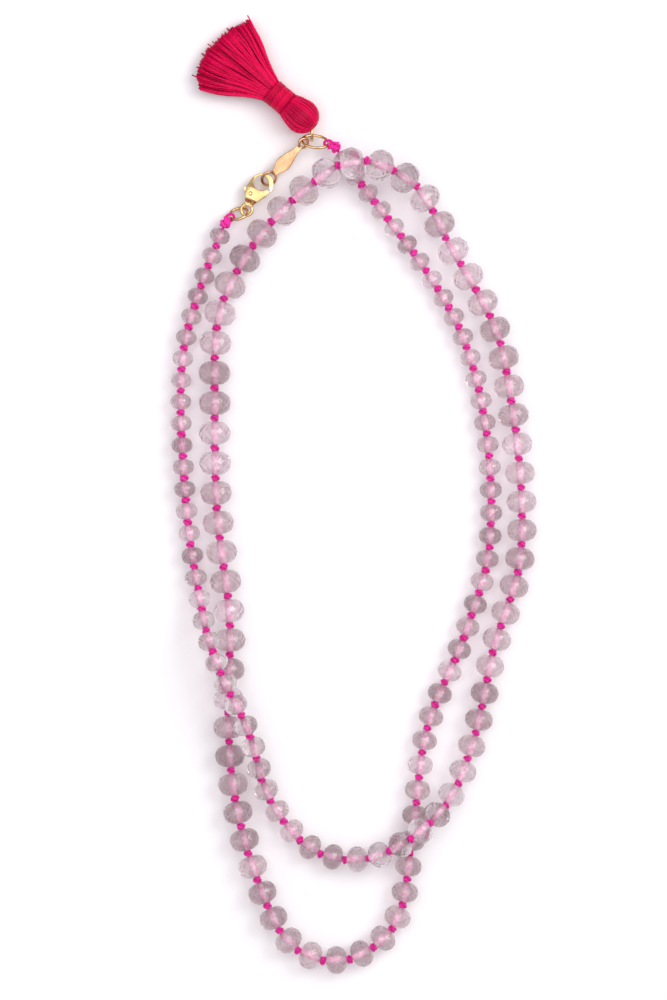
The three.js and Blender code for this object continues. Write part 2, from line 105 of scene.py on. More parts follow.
def frame_along_y(place: Vector, along: Vector, towards: Vector = UP) -> Matrix:
    """A frame at a place.

    Args:
        place: The frame's origin.
        along: The direction of its local Y.
        towards: The direction that its local Z leans to.

    Returns:
        The frame as a matrix.
    """
    y = along.normalized()
    x = y.cross(towards).normalized()
    z = x.cross(y)
    turn = Matrix((x, y, z)).transposed().to_4x4()
    return Matrix.Translation(place) @ turn


def frame_along_x(place: Vector, along: Vector, towards: Vector = UP) -> Matrix:
    """A frame at a place.

    Args:
        place: The frame's origin.
        along: The direction of its local X.
        towards: The direction that its local Z leans to.

    Returns:
        The frame as a matrix.
    """
    x = along.normalized()
    y = towards.cross(x).normalized()
    z = x.cross(y)
    turn = Matrix((x, y, z)).transposed().to_4x4()
    return Matrix.Translation(place) @ turn


def climbing(heading: Vector, slope: float) -> Vector:
    """The direction across a heading that climbs.

    Args:
        heading: The line that the ring's plane holds.
        slope: The climb above the level, in degrees.

    Returns:
        A unit vector.
    """
    level = heading.cross(UP).normalized() * math.cos(math.radians(slope))
    return level + UP * math.sin(math.radians(slope))


def frame_shift() -> Vector:
    """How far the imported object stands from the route's own origin, in millimetres."""
    low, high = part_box("clasp_pin")
    pivot = frame_along_x(TAIL_CENTRE, CLASP_HEADING) @ Vector((*CLASP_PIVOT, 0.0))
    return (low + high) / 2 / MM - pivot


SHIFT = frame_shift()
TO_ROW = Matrix.Scale(MM, 4) @ Matrix.Translation(SHIFT)


# ---- Mesh helpers ---------------------------------------------------------------------------------

STOCK: dict[tuple[int, int], bpy.types.Mesh] = {}


def tube_stock(stations: int, sides: int) -> bpy.types.Mesh:
    """Straight closed tube stock of radius 1 along Z, with a ring of vertices at each whole Z.

    Args:
        stations: The number of rings.
        sides: The number of sides.

    Returns:
        A mesh that no object shows, kept for the next call.
    """
    key = (stations, sides)
    if key not in STOCK:
        bm = bmesh.new()
        bmesh.ops.create_circle(bm, cap_ends=True, segments=sides, radius=1.0)
        edges = list(bm.edges)
        for _ in range(stations - 1):
            made = bmesh.ops.extrude_edge_only(bm, edges=edges)["geom"]
            verts = [g for g in made if isinstance(g, bmesh.types.BMVert)]
            new = set(verts)
            edges = [g for g in made if isinstance(g, bmesh.types.BMEdge) and new.issuperset(g.verts)]
            bmesh.ops.translate(bm, verts=verts, vec=UP)
        bmesh.ops.edgeloop_fill(bm, edges=edges)
        bmesh.ops.recalc_face_normals(bm, faces=bm.faces)
        bm.loops.layers.uv.new("UVMap")
        for face in bm.faces:
            face.smooth = len(face.verts) == 4
        stock = bpy.data.meshes.new(f"stock_{stations}_{sides}")
        bm.to_mesh(stock)
        bm.free()
        STOCK[key] = stock
    return STOCK[key]


def sweep(
    bm: bmesh.types.BMesh, path: list[Vector], radius: float | list[float], sides: int, material: int = 0
) -> list[bmesh.types.BMVert]:
    """A piece of tube stock bent along a path, with its length in millimetres and its turn as UV.

    Args:
        bm: The mesh that takes the tube, in millimetres.
        path: The centreline.
        radius: The tube's radius, or one radius for each point of the path.
        sides: The number of sides.
        material: The material index of the new faces.

    Returns:
        The new vertices.
    """
    count = len(path)
    radii = radius if isinstance(radius, list) else [radius] * count
    uv = bm.loops.layers.uv.verify()
    had_verts, had_faces = len(bm.verts), len(bm.faces)
    bm.from_mesh(tube_stock(count, sides))
    bm.verts.ensure_lookup_table()
    bm.faces.ensure_lookup_table()
    side = None
    frames: list[tuple[Vector, Vector]] = []
    lengths = [0.0]
    for i, place in enumerate(path):
        along = (path[min(i + 1, count - 1)] - path[max(i - 1, 0)]).normalized()
        side = side or along.orthogonal()
        side = (side - along * side.dot(along)).normalized()
        frames.append((side, along.cross(side)))
        if i:
            lengths.append(lengths[-1] + (place - path[i - 1]).length)
    for face in bm.faces[had_faces:]:
        face.material_index = material
        middle = sum((math.atan2(v.co.y, v.co.x) for v in face.verts), 0.0) / len(face.verts)
        for loop in face.loops:
            station = round(loop.vert.co.z)
            turn = math.atan2(loop.vert.co.y, loop.vert.co.x)
            turn += math.tau if turn < middle - math.pi / 2 else 0.0
            loop[uv].uv = (lengths[station], turn / math.tau)
    new = bm.verts[had_verts:]
    for vert in new:
        station = round(vert.co.z)
        across, over = frames[station]
        vert.co = path[station] + (across * vert.co.x + over * vert.co.y) * radii[station]
    return new


def spun_ring(
    bm: bmesh.types.BMesh, across: float, up: float, wire: float, place: Matrix,
    turns: int = 64, sides: int = 14,
) -> list[bmesh.types.BMVert]:
    """A closed wire ring in its frame's XZ plane, stretched to an oval along X.

    Args:
        bm: The mesh that takes the ring, in millimetres.
        across: The centreline's half width along X.
        up: Its half height along Z.
        wire: The wire's radius.
        place: The ring's frame.
        turns: The number of steps round the ring.
        sides: The number of sides of the wire.

    Returns:
        The new vertices.
    """
    had = len(bm.verts)
    stand = Matrix.Translation((0.0, 0.0, up))
    section = bmesh.ops.create_circle(
        bm, segments=sides, radius=wire, matrix=stand @ Matrix.Rotation(math.pi / 2, 4, "Y")
    )["verts"]
    edges = list({e for v in section for e in v.link_edges})
    bmesh.ops.spin(
        bm, geom=section + edges, cent=(0, 0, 0), axis=(0, 1, 0), angle=math.tau, steps=turns, use_merge=True
    )
    bm.verts.ensure_lookup_table()
    new = bm.verts[had:]
    for vert in new:
        angle = math.atan2(vert.co.x, vert.co.z)
        vert.co.x += (across - up) * math.sin(angle)
    faces = list({f for v in new for f in v.link_faces})
    bmesh.ops.recalc_face_normals(bm, faces=faces)
    uv = bm.loops.layers.uv.verify()
    for face in faces:
        face.smooth = True
        for loop in face.loops:
            angle = math.atan2(loop.vert.co.x, loop.vert.co.z)
            loop[uv].uv = (angle * up, loop.vert.co.y / wire)
    bmesh.ops.transform(bm, matrix=place, verts=new)
    return new


def smooth_outline(points: list[tuple[float, float]], divisions: int) -> list[Vector]:
    """A smooth closed outline through a few points.

    Args:
        points: The points that it passes through, in order.
        divisions: The number of steps between each two.

    Returns:
        The outline's points, at Z = 0.
    """
    closed = [Vector((x, y, 0.0)) for x, y in points]
    count = len(closed)
    outline = []
    for i in range(count):
        around = [closed[(i + k) % count] for k in (-1, 0, 1, 2)]
        outline.extend(catmull_rom(around, step / divisions) for step in range(divisions))
    return outline


def catmull_rom(around: list[Vector], share: float) -> Vector:
    """A point on the centripetal Catmull-Rom span between the second and third of four points.

    Args:
        around: The four points.
        share: How far along the span, from 0 to 1.

    Returns:
        The point.
    """
    p0, p1, p2, p3 = around
    d0, d1, d2 = (math.sqrt((b - a).length) for a, b in ((p0, p1), (p1, p2), (p2, p3)))
    d1 = d1 if d1 > 1e-4 else 1.0
    d0 = d0 if d0 > 1e-4 else d1
    d2 = d2 if d2 > 1e-4 else d1
    t1 = ((p1 - p0) / d0 - (p2 - p0) / (d0 + d1) + (p2 - p1) / d1) * d1
    t2 = ((p2 - p1) / d1 - (p3 - p1) / (d1 + d2) + (p3 - p2) / d2) * d1
    c2 = p1 * -3 + p2 * 3 - t1 * 2 - t2
    c3 = p1 * 2 - p2 * 2 + t1 + t2
    return p1 + t1 * share + c2 * share**2 + c3 * share**3


def plump_plate(
    outline: list[Vector], half: float, thickness: list[tuple[float, float]], crown: float
) -> bmesh.types.BMesh:
    """A plate with crowned faces, as the pattern for a casting.

    Args:
        outline: A closed outline in XY, in millimetres.
        half: Half the plate's greatest thickness.
        thickness: Stations of (x, half thickness) that it thins to.
        crown: How much thinner its flanks are than its middle line, as a share.

    Returns:
        The plate as a new bmesh.
    """
    bm = bmesh.new()
    bottom = [bm.faces.new([bm.verts.new((p.x, p.y, -half)) for p in outline])]
    lifted = bmesh.ops.extrude_face_region(bm, geom=bottom, use_keep_orig=True)["geom"]
    top = [g for g in lifted if isinstance(g, bmesh.types.BMVert)]
    bmesh.ops.translate(bm, verts=top, vec=(0.0, 0.0, 2 * half))
    bmesh.ops.recalc_face_normals(bm, faces=bm.faces)
    low_y, high_y = min(p.y for p in outline), max(p.y for p in outline)
    low_x, high_x = min(p.x for p in outline), max(p.x for p in outline)
    cut_plate(bm, Vector((1, 0, 0)), low_x, high_x)
    cut_plate(bm, Vector((0, 1, 0)), low_y, high_y)
    bmesh.ops.triangulate(bm, faces=[f for f in bm.faces if len(f.verts) > 4])
    xs, halves = zip(*thickness)
    for vert in bm.verts:
        middle = (low_y + high_y) / 2
        flank = min(abs(vert.co.y - middle) / ((high_y - low_y) / 2), 1.0)
        vert.co.z *= float(np.interp(vert.co.x, xs, halves)) / half * (1 - crown * flank**2)
    for face in bm.faces:
        face.smooth = True
    bm.loops.layers.uv.verify()
    return bm


def cut_plate(bm: bmesh.types.BMesh, across: Vector, low: float, high: float) -> None:
    """Scores a plate into strips, so that its faces can be crowned.

    Args:
        bm: The plate.
        across: The direction that the cuts step along.
        low: The plate's lowest extent that way.
        high: Its highest.
    """
    steps = max(int((high - low) / STRIP_WIDTH), 4)
    for i in range(1, steps):
        place = across * (low + (high - low) * i / steps)
        geom = list(bm.verts) + list(bm.edges) + list(bm.faces)
        bmesh.ops.bisect_plane(bm, geom=geom, plane_co=place, plane_no=across, dist=1e-5)


def add_mesh(bm: bmesh.types.BMesh, other: bmesh.types.BMesh, place: Matrix) -> None:
    """Adds a finished part to a mesh.

    Args:
        bm: The mesh that takes it.
        other: The part, which is freed.
        place: The part's frame.
    """
    bmesh.ops.transform(other, matrix=place, verts=other.verts)
    held = bpy.data.meshes.new("held")
    other.to_mesh(held)
    other.free()
    bm.from_mesh(held)
    bpy.data.meshes.remove(held)


def cast(bm: bmesh.types.BMesh, grain: float, passes: int) -> bmesh.types.BMesh:
    """Fuses overlapping closed parts into one softly rounded casting.

    Args:
        bm: The parts, in millimetres, which are freed.
        grain: The size of the casting's faces.
        passes: How often its edges are eased.

    Returns:
        The casting as a new bmesh.
    """
    held = bpy.data.meshes.new("pattern")
    bm.to_mesh(held)
    bm.free()
    pattern = bpy.data.objects.new("pattern", held)
    bpy.context.scene.collection.objects.link(pattern)
    remesh = pattern.modifiers.new("fuse", "REMESH")
    remesh.mode, remesh.voxel_size = "VOXEL", grain
    bpy.context.view_layer.update()
    done = bpy.data.meshes.new_from_object(pattern.evaluated_get(bpy.context.evaluated_depsgraph_get()))
    bpy.data.objects.remove(pattern)
    made = bmesh.new()
    made.from_mesh(done)
    bpy.data.meshes.remove(done)
    for _ in range(passes):
        bmesh.ops.smooth_vert(
            made, verts=made.verts, factor=0.5, use_axis_x=True, use_axis_y=True, use_axis_z=True
        )
    for face in made.faces:
        face.smooth = True
    made.loops.layers.uv.verify()
    return made


def cut_from(bm: bmesh.types.BMesh, cutters: list[bmesh.types.BMesh]) -> bmesh.types.BMesh:
    """Cuts some solids out of another with exact booleans.

    Args:
        bm: The solid, which is freed.
        cutters: The solids to cut away, which are freed.

    Returns:
        What is left, as a new bmesh.
    """
    parts = []
    for part in (bm, *cutters):
        bmesh.ops.recalc_face_normals(part, faces=part.faces)
        held = bpy.data.meshes.new("cut_part")
        part.to_mesh(held)
        part.free()
        parts.append(bpy.data.objects.new("cut_part", held))
        bpy.context.scene.collection.objects.link(parts[-1])
    for tool in parts[1:]:
        cut = parts[0].modifiers.new("cut", "BOOLEAN")
        cut.operation, cut.solver, cut.object = "DIFFERENCE", "EXACT", tool
    bpy.context.view_layer.update()
    done = bpy.data.meshes.new_from_object(parts[0].evaluated_get(bpy.context.evaluated_depsgraph_get()))
    for part in parts:
        bpy.data.objects.remove(part)
    made = bmesh.new()
    made.from_mesh(done)
    bpy.data.meshes.remove(done)
    return made


def finish_piece(
    name: str,
    bm: bmesh.types.BMesh,
    materials: list[bpy.types.Material],
    body: str,
    nodes: tuple[str, ...] = (),
) -> bpy.types.Object:
    """Turns a mesh in the route's frame into a piece that rides on its body.

    Args:
        name: The piece's name.
        bm: Its mesh in millimetres, which is freed.
        materials: Its materials, by index.
        body: The body that it moves with.
        nodes: The plain solids that it stands for.

    Returns:
        The piece, with its place in its mesh.
    """
    bmesh.ops.transform(bm, matrix=TO_ROW, verts=bm.verts)
    mesh = bpy.data.meshes.new(name)
    bm.to_mesh(mesh)
    bm.free()
    for material in materials:
        mesh.materials.append(material)
    obj = bpy.data.objects.new(name, mesh)
    bpy.context.scene.collection.objects.link(obj)
    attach(obj, body)
    if nodes:
        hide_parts(*nodes)
    LOG.info("%s: %d faces on %s", name, len(mesh.polygons), body)
    return obj


# ---- Shared shader effects ------------------------------------------------------------------------


def add_node(tree: bpy.types.NodeTree, kind: str, **values: object) -> bpy.types.Node:
    """Adds a node and sets its sockets and settings by name.

    Args:
        tree: The tree that takes the node.
        kind: The node's type.
        values: Socket values, with _ for a space, or settings of the node.

    Returns:
        The node.
    """
    node = tree.nodes.new(kind)
    for key, value in values.items():
        socket = key.replace("_", " ")
        if socket in node.inputs:
            node.inputs[socket].default_value = value
        else:
            setattr(node, key, value)
    return node


def effect_group(
    name: str, inputs: dict[str, tuple[str, float | None]], outputs: dict[str, str]
) -> tuple[bpy.types.NodeTree, bpy.types.Node, bpy.types.Node]:
    """Starts a shader node group with named sockets.

    Args:
        name: The group's name.
        inputs: Socket type and default value of each input.
        outputs: Socket type of each output.

    Returns:
        The tree, its input node and its output node.
    """
    tree = bpy.data.node_groups.new(name, "ShaderNodeTree")
    for key, (kind, default) in inputs.items():
        socket = tree.interface.new_socket(name=key, in_out="INPUT", socket_type=kind)
        if default is not None:
            socket.default_value = default
    for key, kind in outputs.items():
        tree.interface.new_socket(name=key, in_out="OUTPUT", socket_type=kind)
    return tree, tree.nodes.new("NodeGroupInput"), tree.nodes.new("NodeGroupOutput")


FLOAT, VECTOR = "NodeSocketFloat", "NodeSocketVector"
BUMP_HEIGHT = 0.00012


class Effects:
    """The effects that several finishes share: grain, the lay of twisted thread, and polishing lines."""

    def __init__(self) -> None:
        """Builds each group once."""
        self.grain = self._grain()
        self.twist = self._twist()
        self.scratches = self._scratches()

    def _grain(self) -> bpy.types.NodeTree:
        """Fine uneven grain, as a mask and a normal."""
        tree, start, end = effect_group(
            "fine_grain",
            {"Vector": (VECTOR, None), "Scale": (FLOAT, 900.0), "Depth": (FLOAT, 0.3)},
            {"Mask": FLOAT, "Normal": VECTOR},
        )
        noise = add_node(tree, "ShaderNodeTexNoise", Detail=5.0, Roughness=0.6)
        bump = add_node(tree, "ShaderNodeBump", Distance=BUMP_HEIGHT)
        tree.links.new(start.outputs["Vector"], noise.inputs["Vector"])
        tree.links.new(start.outputs["Scale"], noise.inputs["Scale"])
        tree.links.new(noise.outputs["Fac"], bump.inputs["Height"])
        tree.links.new(start.outputs["Depth"], bump.inputs["Strength"])
        tree.links.new(noise.outputs["Fac"], end.inputs["Mask"])
        tree.links.new(bump.outputs["Normal"], end.inputs["Normal"])
        return tree

    def _twist(self) -> bpy.types.NodeTree:
        """The slanting plies of a twisted thread on its own UV map, as a mask and a normal."""
        tree, start, end = effect_group(
            "thread_twist",
            {"Vector": (VECTOR, None), "Pitch": (FLOAT, 0.5), "Plies": (FLOAT, 3.0), "Depth": (FLOAT, 0.8)},
            {"Mask": FLOAT, "Normal": VECTOR},
        )
        parts = add_node(tree, "ShaderNodeSeparateXYZ")
        along = add_node(tree, "ShaderNodeMath", operation="DIVIDE")
        around = add_node(tree, "ShaderNodeMath", operation="MULTIPLY")
        total = add_node(tree, "ShaderNodeMath", operation="ADD")
        turns = add_node(tree, "ShaderNodeMath", operation="MULTIPLY")
        turns.inputs[1].default_value = math.tau
        wave = add_node(tree, "ShaderNodeMath", operation="SINE")
        level = add_node(tree, "ShaderNodeMapRange")
        level.inputs["From Min"].default_value = -1.0
        bump = add_node(tree, "ShaderNodeBump", Distance=BUMP_HEIGHT)
        links = (
            (start.outputs["Vector"], parts.inputs[0]),
            (parts.outputs["X"], along.inputs[0]),
            (start.outputs["Pitch"], along.inputs[1]),
            (parts.outputs["Y"], around.inputs[0]),
            (start.outputs["Plies"], around.inputs[1]),
            (along.outputs[0], total.inputs[0]),
            (around.outputs[0], total.inputs[1]),
            (total.outputs[0], turns.inputs[0]),
            (turns.outputs[0], wave.inputs[0]),
            (wave.outputs[0], level.inputs["Value"]),
            (level.outputs[0], bump.inputs["Height"]),
            (start.outputs["Depth"], bump.inputs["Strength"]),
            (level.outputs[0], end.inputs["Mask"]),
            (bump.outputs["Normal"], end.inputs["Normal"]),
        )
        for out, into in links:
            tree.links.new(out, into)
        return tree

    def _scratches(self) -> bpy.types.NodeTree:
        """Polishing lines that run across a stretched noise, as a mask and a normal."""
        tree, start, end = effect_group(
            "polishing_lines",
            {"Vector": (VECTOR, None), "Scale": (FLOAT, 600.0), "Depth": (FLOAT, 0.1)},
            {"Mask": FLOAT, "Normal": VECTOR},
        )
        stretch = add_node(tree, "ShaderNodeMapping")
        stretch.inputs["Scale"].default_value = (1.0, 9.0, 2.0)
        stretch.inputs["Rotation"].default_value = (0.0, 0.0, 0.6)
        noise = add_node(tree, "ShaderNodeTexNoise", Detail=6.0, Roughness=0.7)
        bump = add_node(tree, "ShaderNodeBump", Distance=BUMP_HEIGHT)
        tree.links.new(start.outputs["Vector"], stretch.inputs["Vector"])
        tree.links.new(stretch.outputs["Vector"], noise.inputs["Vector"])
        tree.links.new(start.outputs["Scale"], noise.inputs["Scale"])
        tree.links.new(noise.outputs["Fac"], bump.inputs["Height"])
        tree.links.new(start.outputs["Depth"], bump.inputs["Strength"])
        tree.links.new(noise.outputs["Fac"], end.inputs["Mask"])
        tree.links.new(bump.outputs["Normal"], end.inputs["Normal"])
        return tree


def use_effect(tree: bpy.types.NodeTree, group: bpy.types.NodeTree, **values: float) -> bpy.types.Node:
    """Places a shared effect in a material.

    Args:
        tree: The material's tree.
        group: The effect.
        values: The effect's own input values.

    Returns:
        The group node.
    """
    node = tree.nodes.new("ShaderNodeGroup")
    node.node_tree = group
    for key, value in values.items():
        node.inputs[key].default_value = value
    return node


def start_material(name: str) -> tuple[bpy.types.Material, bpy.types.NodeTree, bpy.types.Node]:
    """A node material with its Principled shader.

    Args:
        name: The material's name.

    Returns:
        The material, its tree and the Principled node.
    """
    material = bpy.data.materials.new(name)
    material.use_nodes = True
    tree = material.node_tree
    return material, tree, tree.nodes["Principled BSDF"]


def ramp(tree: bpy.types.NodeTree, stops: list[tuple[float, tuple[float, float, float]]]) -> bpy.types.Node:
    """A colour ramp.

    Args:
        tree: The material's tree.
        stops: (place, colour) of each stop.

    Returns:
        The ramp node.
    """
    node = tree.nodes.new("ShaderNodeValToRGB")
    elements = node.color_ramp.elements
    while len(elements) < len(stops):
        elements.new(0.5)
    for element, (place, colour) in zip(elements, stops):
        element.position = place
        element.color = (*colour, 1.0)
    return node


def mixed(tree: bpy.types.NodeTree, blend: str, share: float) -> bpy.types.Node:
    """A colour mix node with a fixed share."""
    return add_node(tree, "ShaderNodeMix", data_type="RGBA", blend_type=blend, Factor=share)


# ---- Finishes -------------------------------------------------------------------------------------


@dataclass(frozen=True)
class StoneFinish:
    """Pale cloudy rose quartz, polished into small facets."""

    name: str = "rose_quartz_stone"
    pale: tuple[float, float, float] = (0.88, 0.815, 0.83)
    deep: tuple[float, float, float] = (0.71, 0.63, 0.65)
    veil: tuple[float, float, float] = (0.97, 0.925, 0.95)
    roughness: float = 0.09
    refraction: float = 1.544
    clarity: float = 0.86
    shade: float = 0.72

    def build(self, effects: Effects) -> bpy.types.Material:
        """Builds the stone.

        Args:
            effects: The shared effects.

        Returns:
            The material.
        """
        material, tree, shader = start_material(self.name)
        coords = add_node(tree, "ShaderNodeTexCoord")
        tone = add_node(tree, "ShaderNodeAttribute", attribute_name="tone")
        body = ramp(tree, [(0.0, self.deep), (0.55, self.pale), (1.0, self.veil)])
        tree.links.new(tone.outputs["Fac"], body.inputs["Fac"])
        cloud = add_node(tree, "ShaderNodeTexNoise", Scale=760.0, Detail=6.0, Roughness=0.68, Distortion=0.9)
        tree.links.new(coords.outputs["Object"], cloud.inputs["Vector"])
        veil = ramp(tree, [(0.4, (0.64, 0.56, 0.59)), (0.6, (1.0, 1.0, 1.0))])
        tree.links.new(cloud.outputs["Fac"], veil.inputs["Fac"])
        coloured = mixed(tree, "MULTIPLY", 0.75)
        tree.links.new(body.outputs["Color"], coloured.inputs["A"])
        tree.links.new(veil.outputs["Color"], coloured.inputs["B"])
        specks = add_node(tree, "ShaderNodeTexVoronoi", Scale=330.0, Randomness=1.0)
        tree.links.new(coords.outputs["Object"], specks.inputs["Vector"])
        speck = ramp(tree, [(0.035, (0.45, 0.27, 0.2)), (0.075, (1.0, 1.0, 1.0))])
        tree.links.new(specks.outputs["Distance"], speck.inputs["Fac"])
        flecked = mixed(tree, "MULTIPLY", 0.7)
        tree.links.new(coloured.outputs["Result"], flecked.inputs["A"])
        tree.links.new(speck.outputs["Color"], flecked.inputs["B"])
        tree.links.new(flecked.outputs["Result"], shader.inputs["Base Color"])
        polish = add_node(tree, "ShaderNodeMapRange")
        polish.inputs["To Min"].default_value = self.roughness * 0.5
        polish.inputs["To Max"].default_value = self.roughness * 1.7
        tree.links.new(cloud.outputs["Fac"], polish.inputs["Value"])
        tree.links.new(polish.outputs["Result"], shader.inputs["Roughness"])
        grain = use_effect(tree, effects.grain, Scale=2100.0, Depth=0.14)
        tree.links.new(coords.outputs["Object"], grain.inputs["Vector"])
        tree.links.new(grain.outputs["Normal"], shader.inputs["Normal"])
        shader.inputs["IOR"].default_value = self.refraction
        shader.inputs["Transmission Weight"].default_value = self.clarity
        shader.inputs["Specular IOR Level"].default_value = 0.6
        let_light_through(tree, shader, flecked.outputs["Result"], self.shade)
        return material


def let_light_through(
    tree: bpy.types.NodeTree, shader: bpy.types.Node, tint: bpy.types.NodeSocket, share: float
) -> None:
    """Lets shadow rays pass a clear stone, tinted, so that it casts a pale shadow.

    Args:
        tree: The material's tree.
        shader: Its surface shader.
        tint: The colour that the passing light takes.
        share: How much of the light passes.
    """
    path = add_node(tree, "ShaderNodeLightPath")
    dim = add_node(tree, "ShaderNodeMath", operation="MULTIPLY")
    dim.inputs[1].default_value = share
    clear = add_node(tree, "ShaderNodeBsdfTransparent")
    mix = add_node(tree, "ShaderNodeMixShader")
    tree.links.new(path.outputs["Is Shadow Ray"], dim.inputs[0])
    tree.links.new(dim.outputs[0], mix.inputs["Fac"])
    tree.links.new(tint, clear.inputs["Color"])
    tree.links.new(shader.outputs["BSDF"], mix.inputs[1])
    tree.links.new(clear.outputs["BSDF"], mix.inputs[2])
    tree.links.new(mix.outputs["Shader"], tree.nodes["Material Output"].inputs["Surface"])


@dataclass(frozen=True)
class BoreFinish:
    """The frosted wall of a drilled hole, painted pink in place of the light of the cord inside it, which the
    opaque wall hides.
    """

    name: str = "frosted_bore_painted_cord_light"
    # Painted light: this pink stands in for the cord's colour seen through the frosted wall.
    colour: tuple[float, float, float] = (1.0, 0.34, 0.64)
    roughness: float = 0.7
    clarity: float = 0.0
    shade: float = 0.75

    def build(self, effects: Effects) -> bpy.types.Material:
        """Builds the frosted wall.

        Args:
            effects: The shared effects.

        Returns:
            The material.
        """
        material, tree, shader = start_material(self.name)
        coords = add_node(tree, "ShaderNodeTexCoord")
        grain = use_effect(tree, effects.grain, Scale=2300.0, Depth=1.0)
        tree.links.new(coords.outputs["Object"], grain.inputs["Vector"])
        # Painted cord light on the wall, paling towards white where the grain is high.
        tint = ramp(tree, [(0.4, self.colour), (0.62, (1.0, 0.90, 0.95))])
        tree.links.new(grain.outputs["Mask"], tint.inputs["Fac"])
        tree.links.new(tint.outputs["Color"], shader.inputs["Base Color"])
        tree.links.new(grain.outputs["Normal"], shader.inputs["Normal"])
        shader.inputs["Roughness"].default_value = self.roughness
        shader.inputs["Transmission Weight"].default_value = self.clarity
        let_light_through(tree, shader, tint.outputs["Color"], self.shade)
        return material


@dataclass(frozen=True)
class ThreadFinish:
    """Dyed thread or cord, with painted light along its twist: its ply ridges painted lighter and the grooves
    between them darker.
    """

    name: str
    dark: tuple[float, float, float]
    bright: tuple[float, float, float]
    pitch: float
    plies: float
    depth: float
    roughness: float
    sheen: float

    def build(self, effects: Effects) -> bpy.types.Material:
        """Builds the thread.

        Args:
            effects: The shared effects.

        Returns:
            The material.
        """
        material, tree, shader = start_material(self.name)
        coords = add_node(tree, "ShaderNodeTexCoord")
        twist = use_effect(tree, effects.twist, Pitch=self.pitch, Plies=self.plies, Depth=self.depth)
        tree.links.new(coords.outputs["UV"], twist.inputs["Vector"])
        dye = ramp(tree, [(0.0, self.dark), (1.0, self.bright)])
        grain = use_effect(tree, effects.grain, Scale=700.0, Depth=0.2)
        tree.links.new(coords.outputs["Object"], grain.inputs["Vector"])
        tone = add_node(tree, "ShaderNodeAttribute", attribute_name="tone")
        # Painted light and shade: the twist's height lightens the dye on each ply ridge and darkens it in the
        # grooves.
        ply_ridge_light = add_node(tree, "ShaderNodeMath", operation="MULTIPLY")
        ply_ridge_light.inputs[1].default_value = 0.3
        patch = add_node(tree, "ShaderNodeMath", operation="MULTIPLY_ADD")
        patch.inputs[1].default_value = 0.35
        own = add_node(tree, "ShaderNodeMath", operation="MULTIPLY_ADD")
        own.inputs[1].default_value = 0.6
        tree.links.new(twist.outputs["Mask"], ply_ridge_light.inputs[0])
        tree.links.new(grain.outputs["Mask"], patch.inputs[0])
        tree.links.new(ply_ridge_light.outputs[0], patch.inputs[2])
        tree.links.new(tone.outputs["Fac"], own.inputs[0])
        tree.links.new(patch.outputs[0], own.inputs[2])
        tree.links.new(own.outputs[0], dye.inputs["Fac"])
        tree.links.new(dye.outputs["Color"], shader.inputs["Base Color"])
        tree.links.new(twist.outputs["Normal"], shader.inputs["Normal"])
        shader.inputs["Roughness"].default_value = self.roughness
        shader.inputs["Specular IOR Level"].default_value = 0.18
        shader.inputs["Sheen Weight"].default_value = self.sheen
        shader.inputs["Sheen Roughness"].default_value = 0.4
        shader.inputs["Sheen Tint"].default_value = (1.0, 0.55, 0.75, 1.0)
        return material


@dataclass(frozen=True)
class GoldFinish:
    """Polished gold-filled metal with fine lines and a dulled patch here and there."""

    name: str
    colour: tuple[float, float, float]
    worn: tuple[float, float, float]
    roughness: float
    lines: float
    hammer: float = 0.0

    def build(self, effects: Effects) -> bpy.types.Material:
        """Builds the metal.

        Args:
            effects: The shared effects.

        Returns:
            The material.
        """
        material, tree, shader = start_material(self.name)
        coords = add_node(tree, "ShaderNodeTexCoord")
        lines = use_effect(tree, effects.scratches, Scale=900.0, Depth=self.lines)
        tree.links.new(coords.outputs["Object"], lines.inputs["Vector"])
        patches = add_node(tree, "ShaderNodeTexNoise", Scale=260.0, Detail=3.0)
        tree.links.new(coords.outputs["Object"], patches.inputs["Vector"])
        tint = ramp(tree, [(0.35, self.worn), (0.6, self.colour)])
        tree.links.new(patches.outputs["Fac"], tint.inputs["Fac"])
        tree.links.new(tint.outputs["Color"], shader.inputs["Base Color"])
        polish = add_node(tree, "ShaderNodeMapRange")
        polish.inputs["From Min"].default_value = 0.3
        polish.inputs["From Max"].default_value = 0.7
        polish.inputs["To Min"].default_value = self.roughness * 0.7
        polish.inputs["To Max"].default_value = self.roughness * 1.5
        tree.links.new(lines.outputs["Mask"], polish.inputs["Value"])
        tree.links.new(polish.outputs["Result"], shader.inputs["Roughness"])
        dents = add_node(tree, "ShaderNodeBump", Distance=BUMP_HEIGHT, Strength=self.hammer)
        tree.links.new(patches.outputs["Fac"], dents.inputs["Height"])
        tree.links.new(lines.outputs["Normal"], dents.inputs["Normal"])
        tree.links.new(dents.outputs["Normal"], shader.inputs["Normal"])
        shader.inputs["Metallic"].default_value = 1.0
        return material


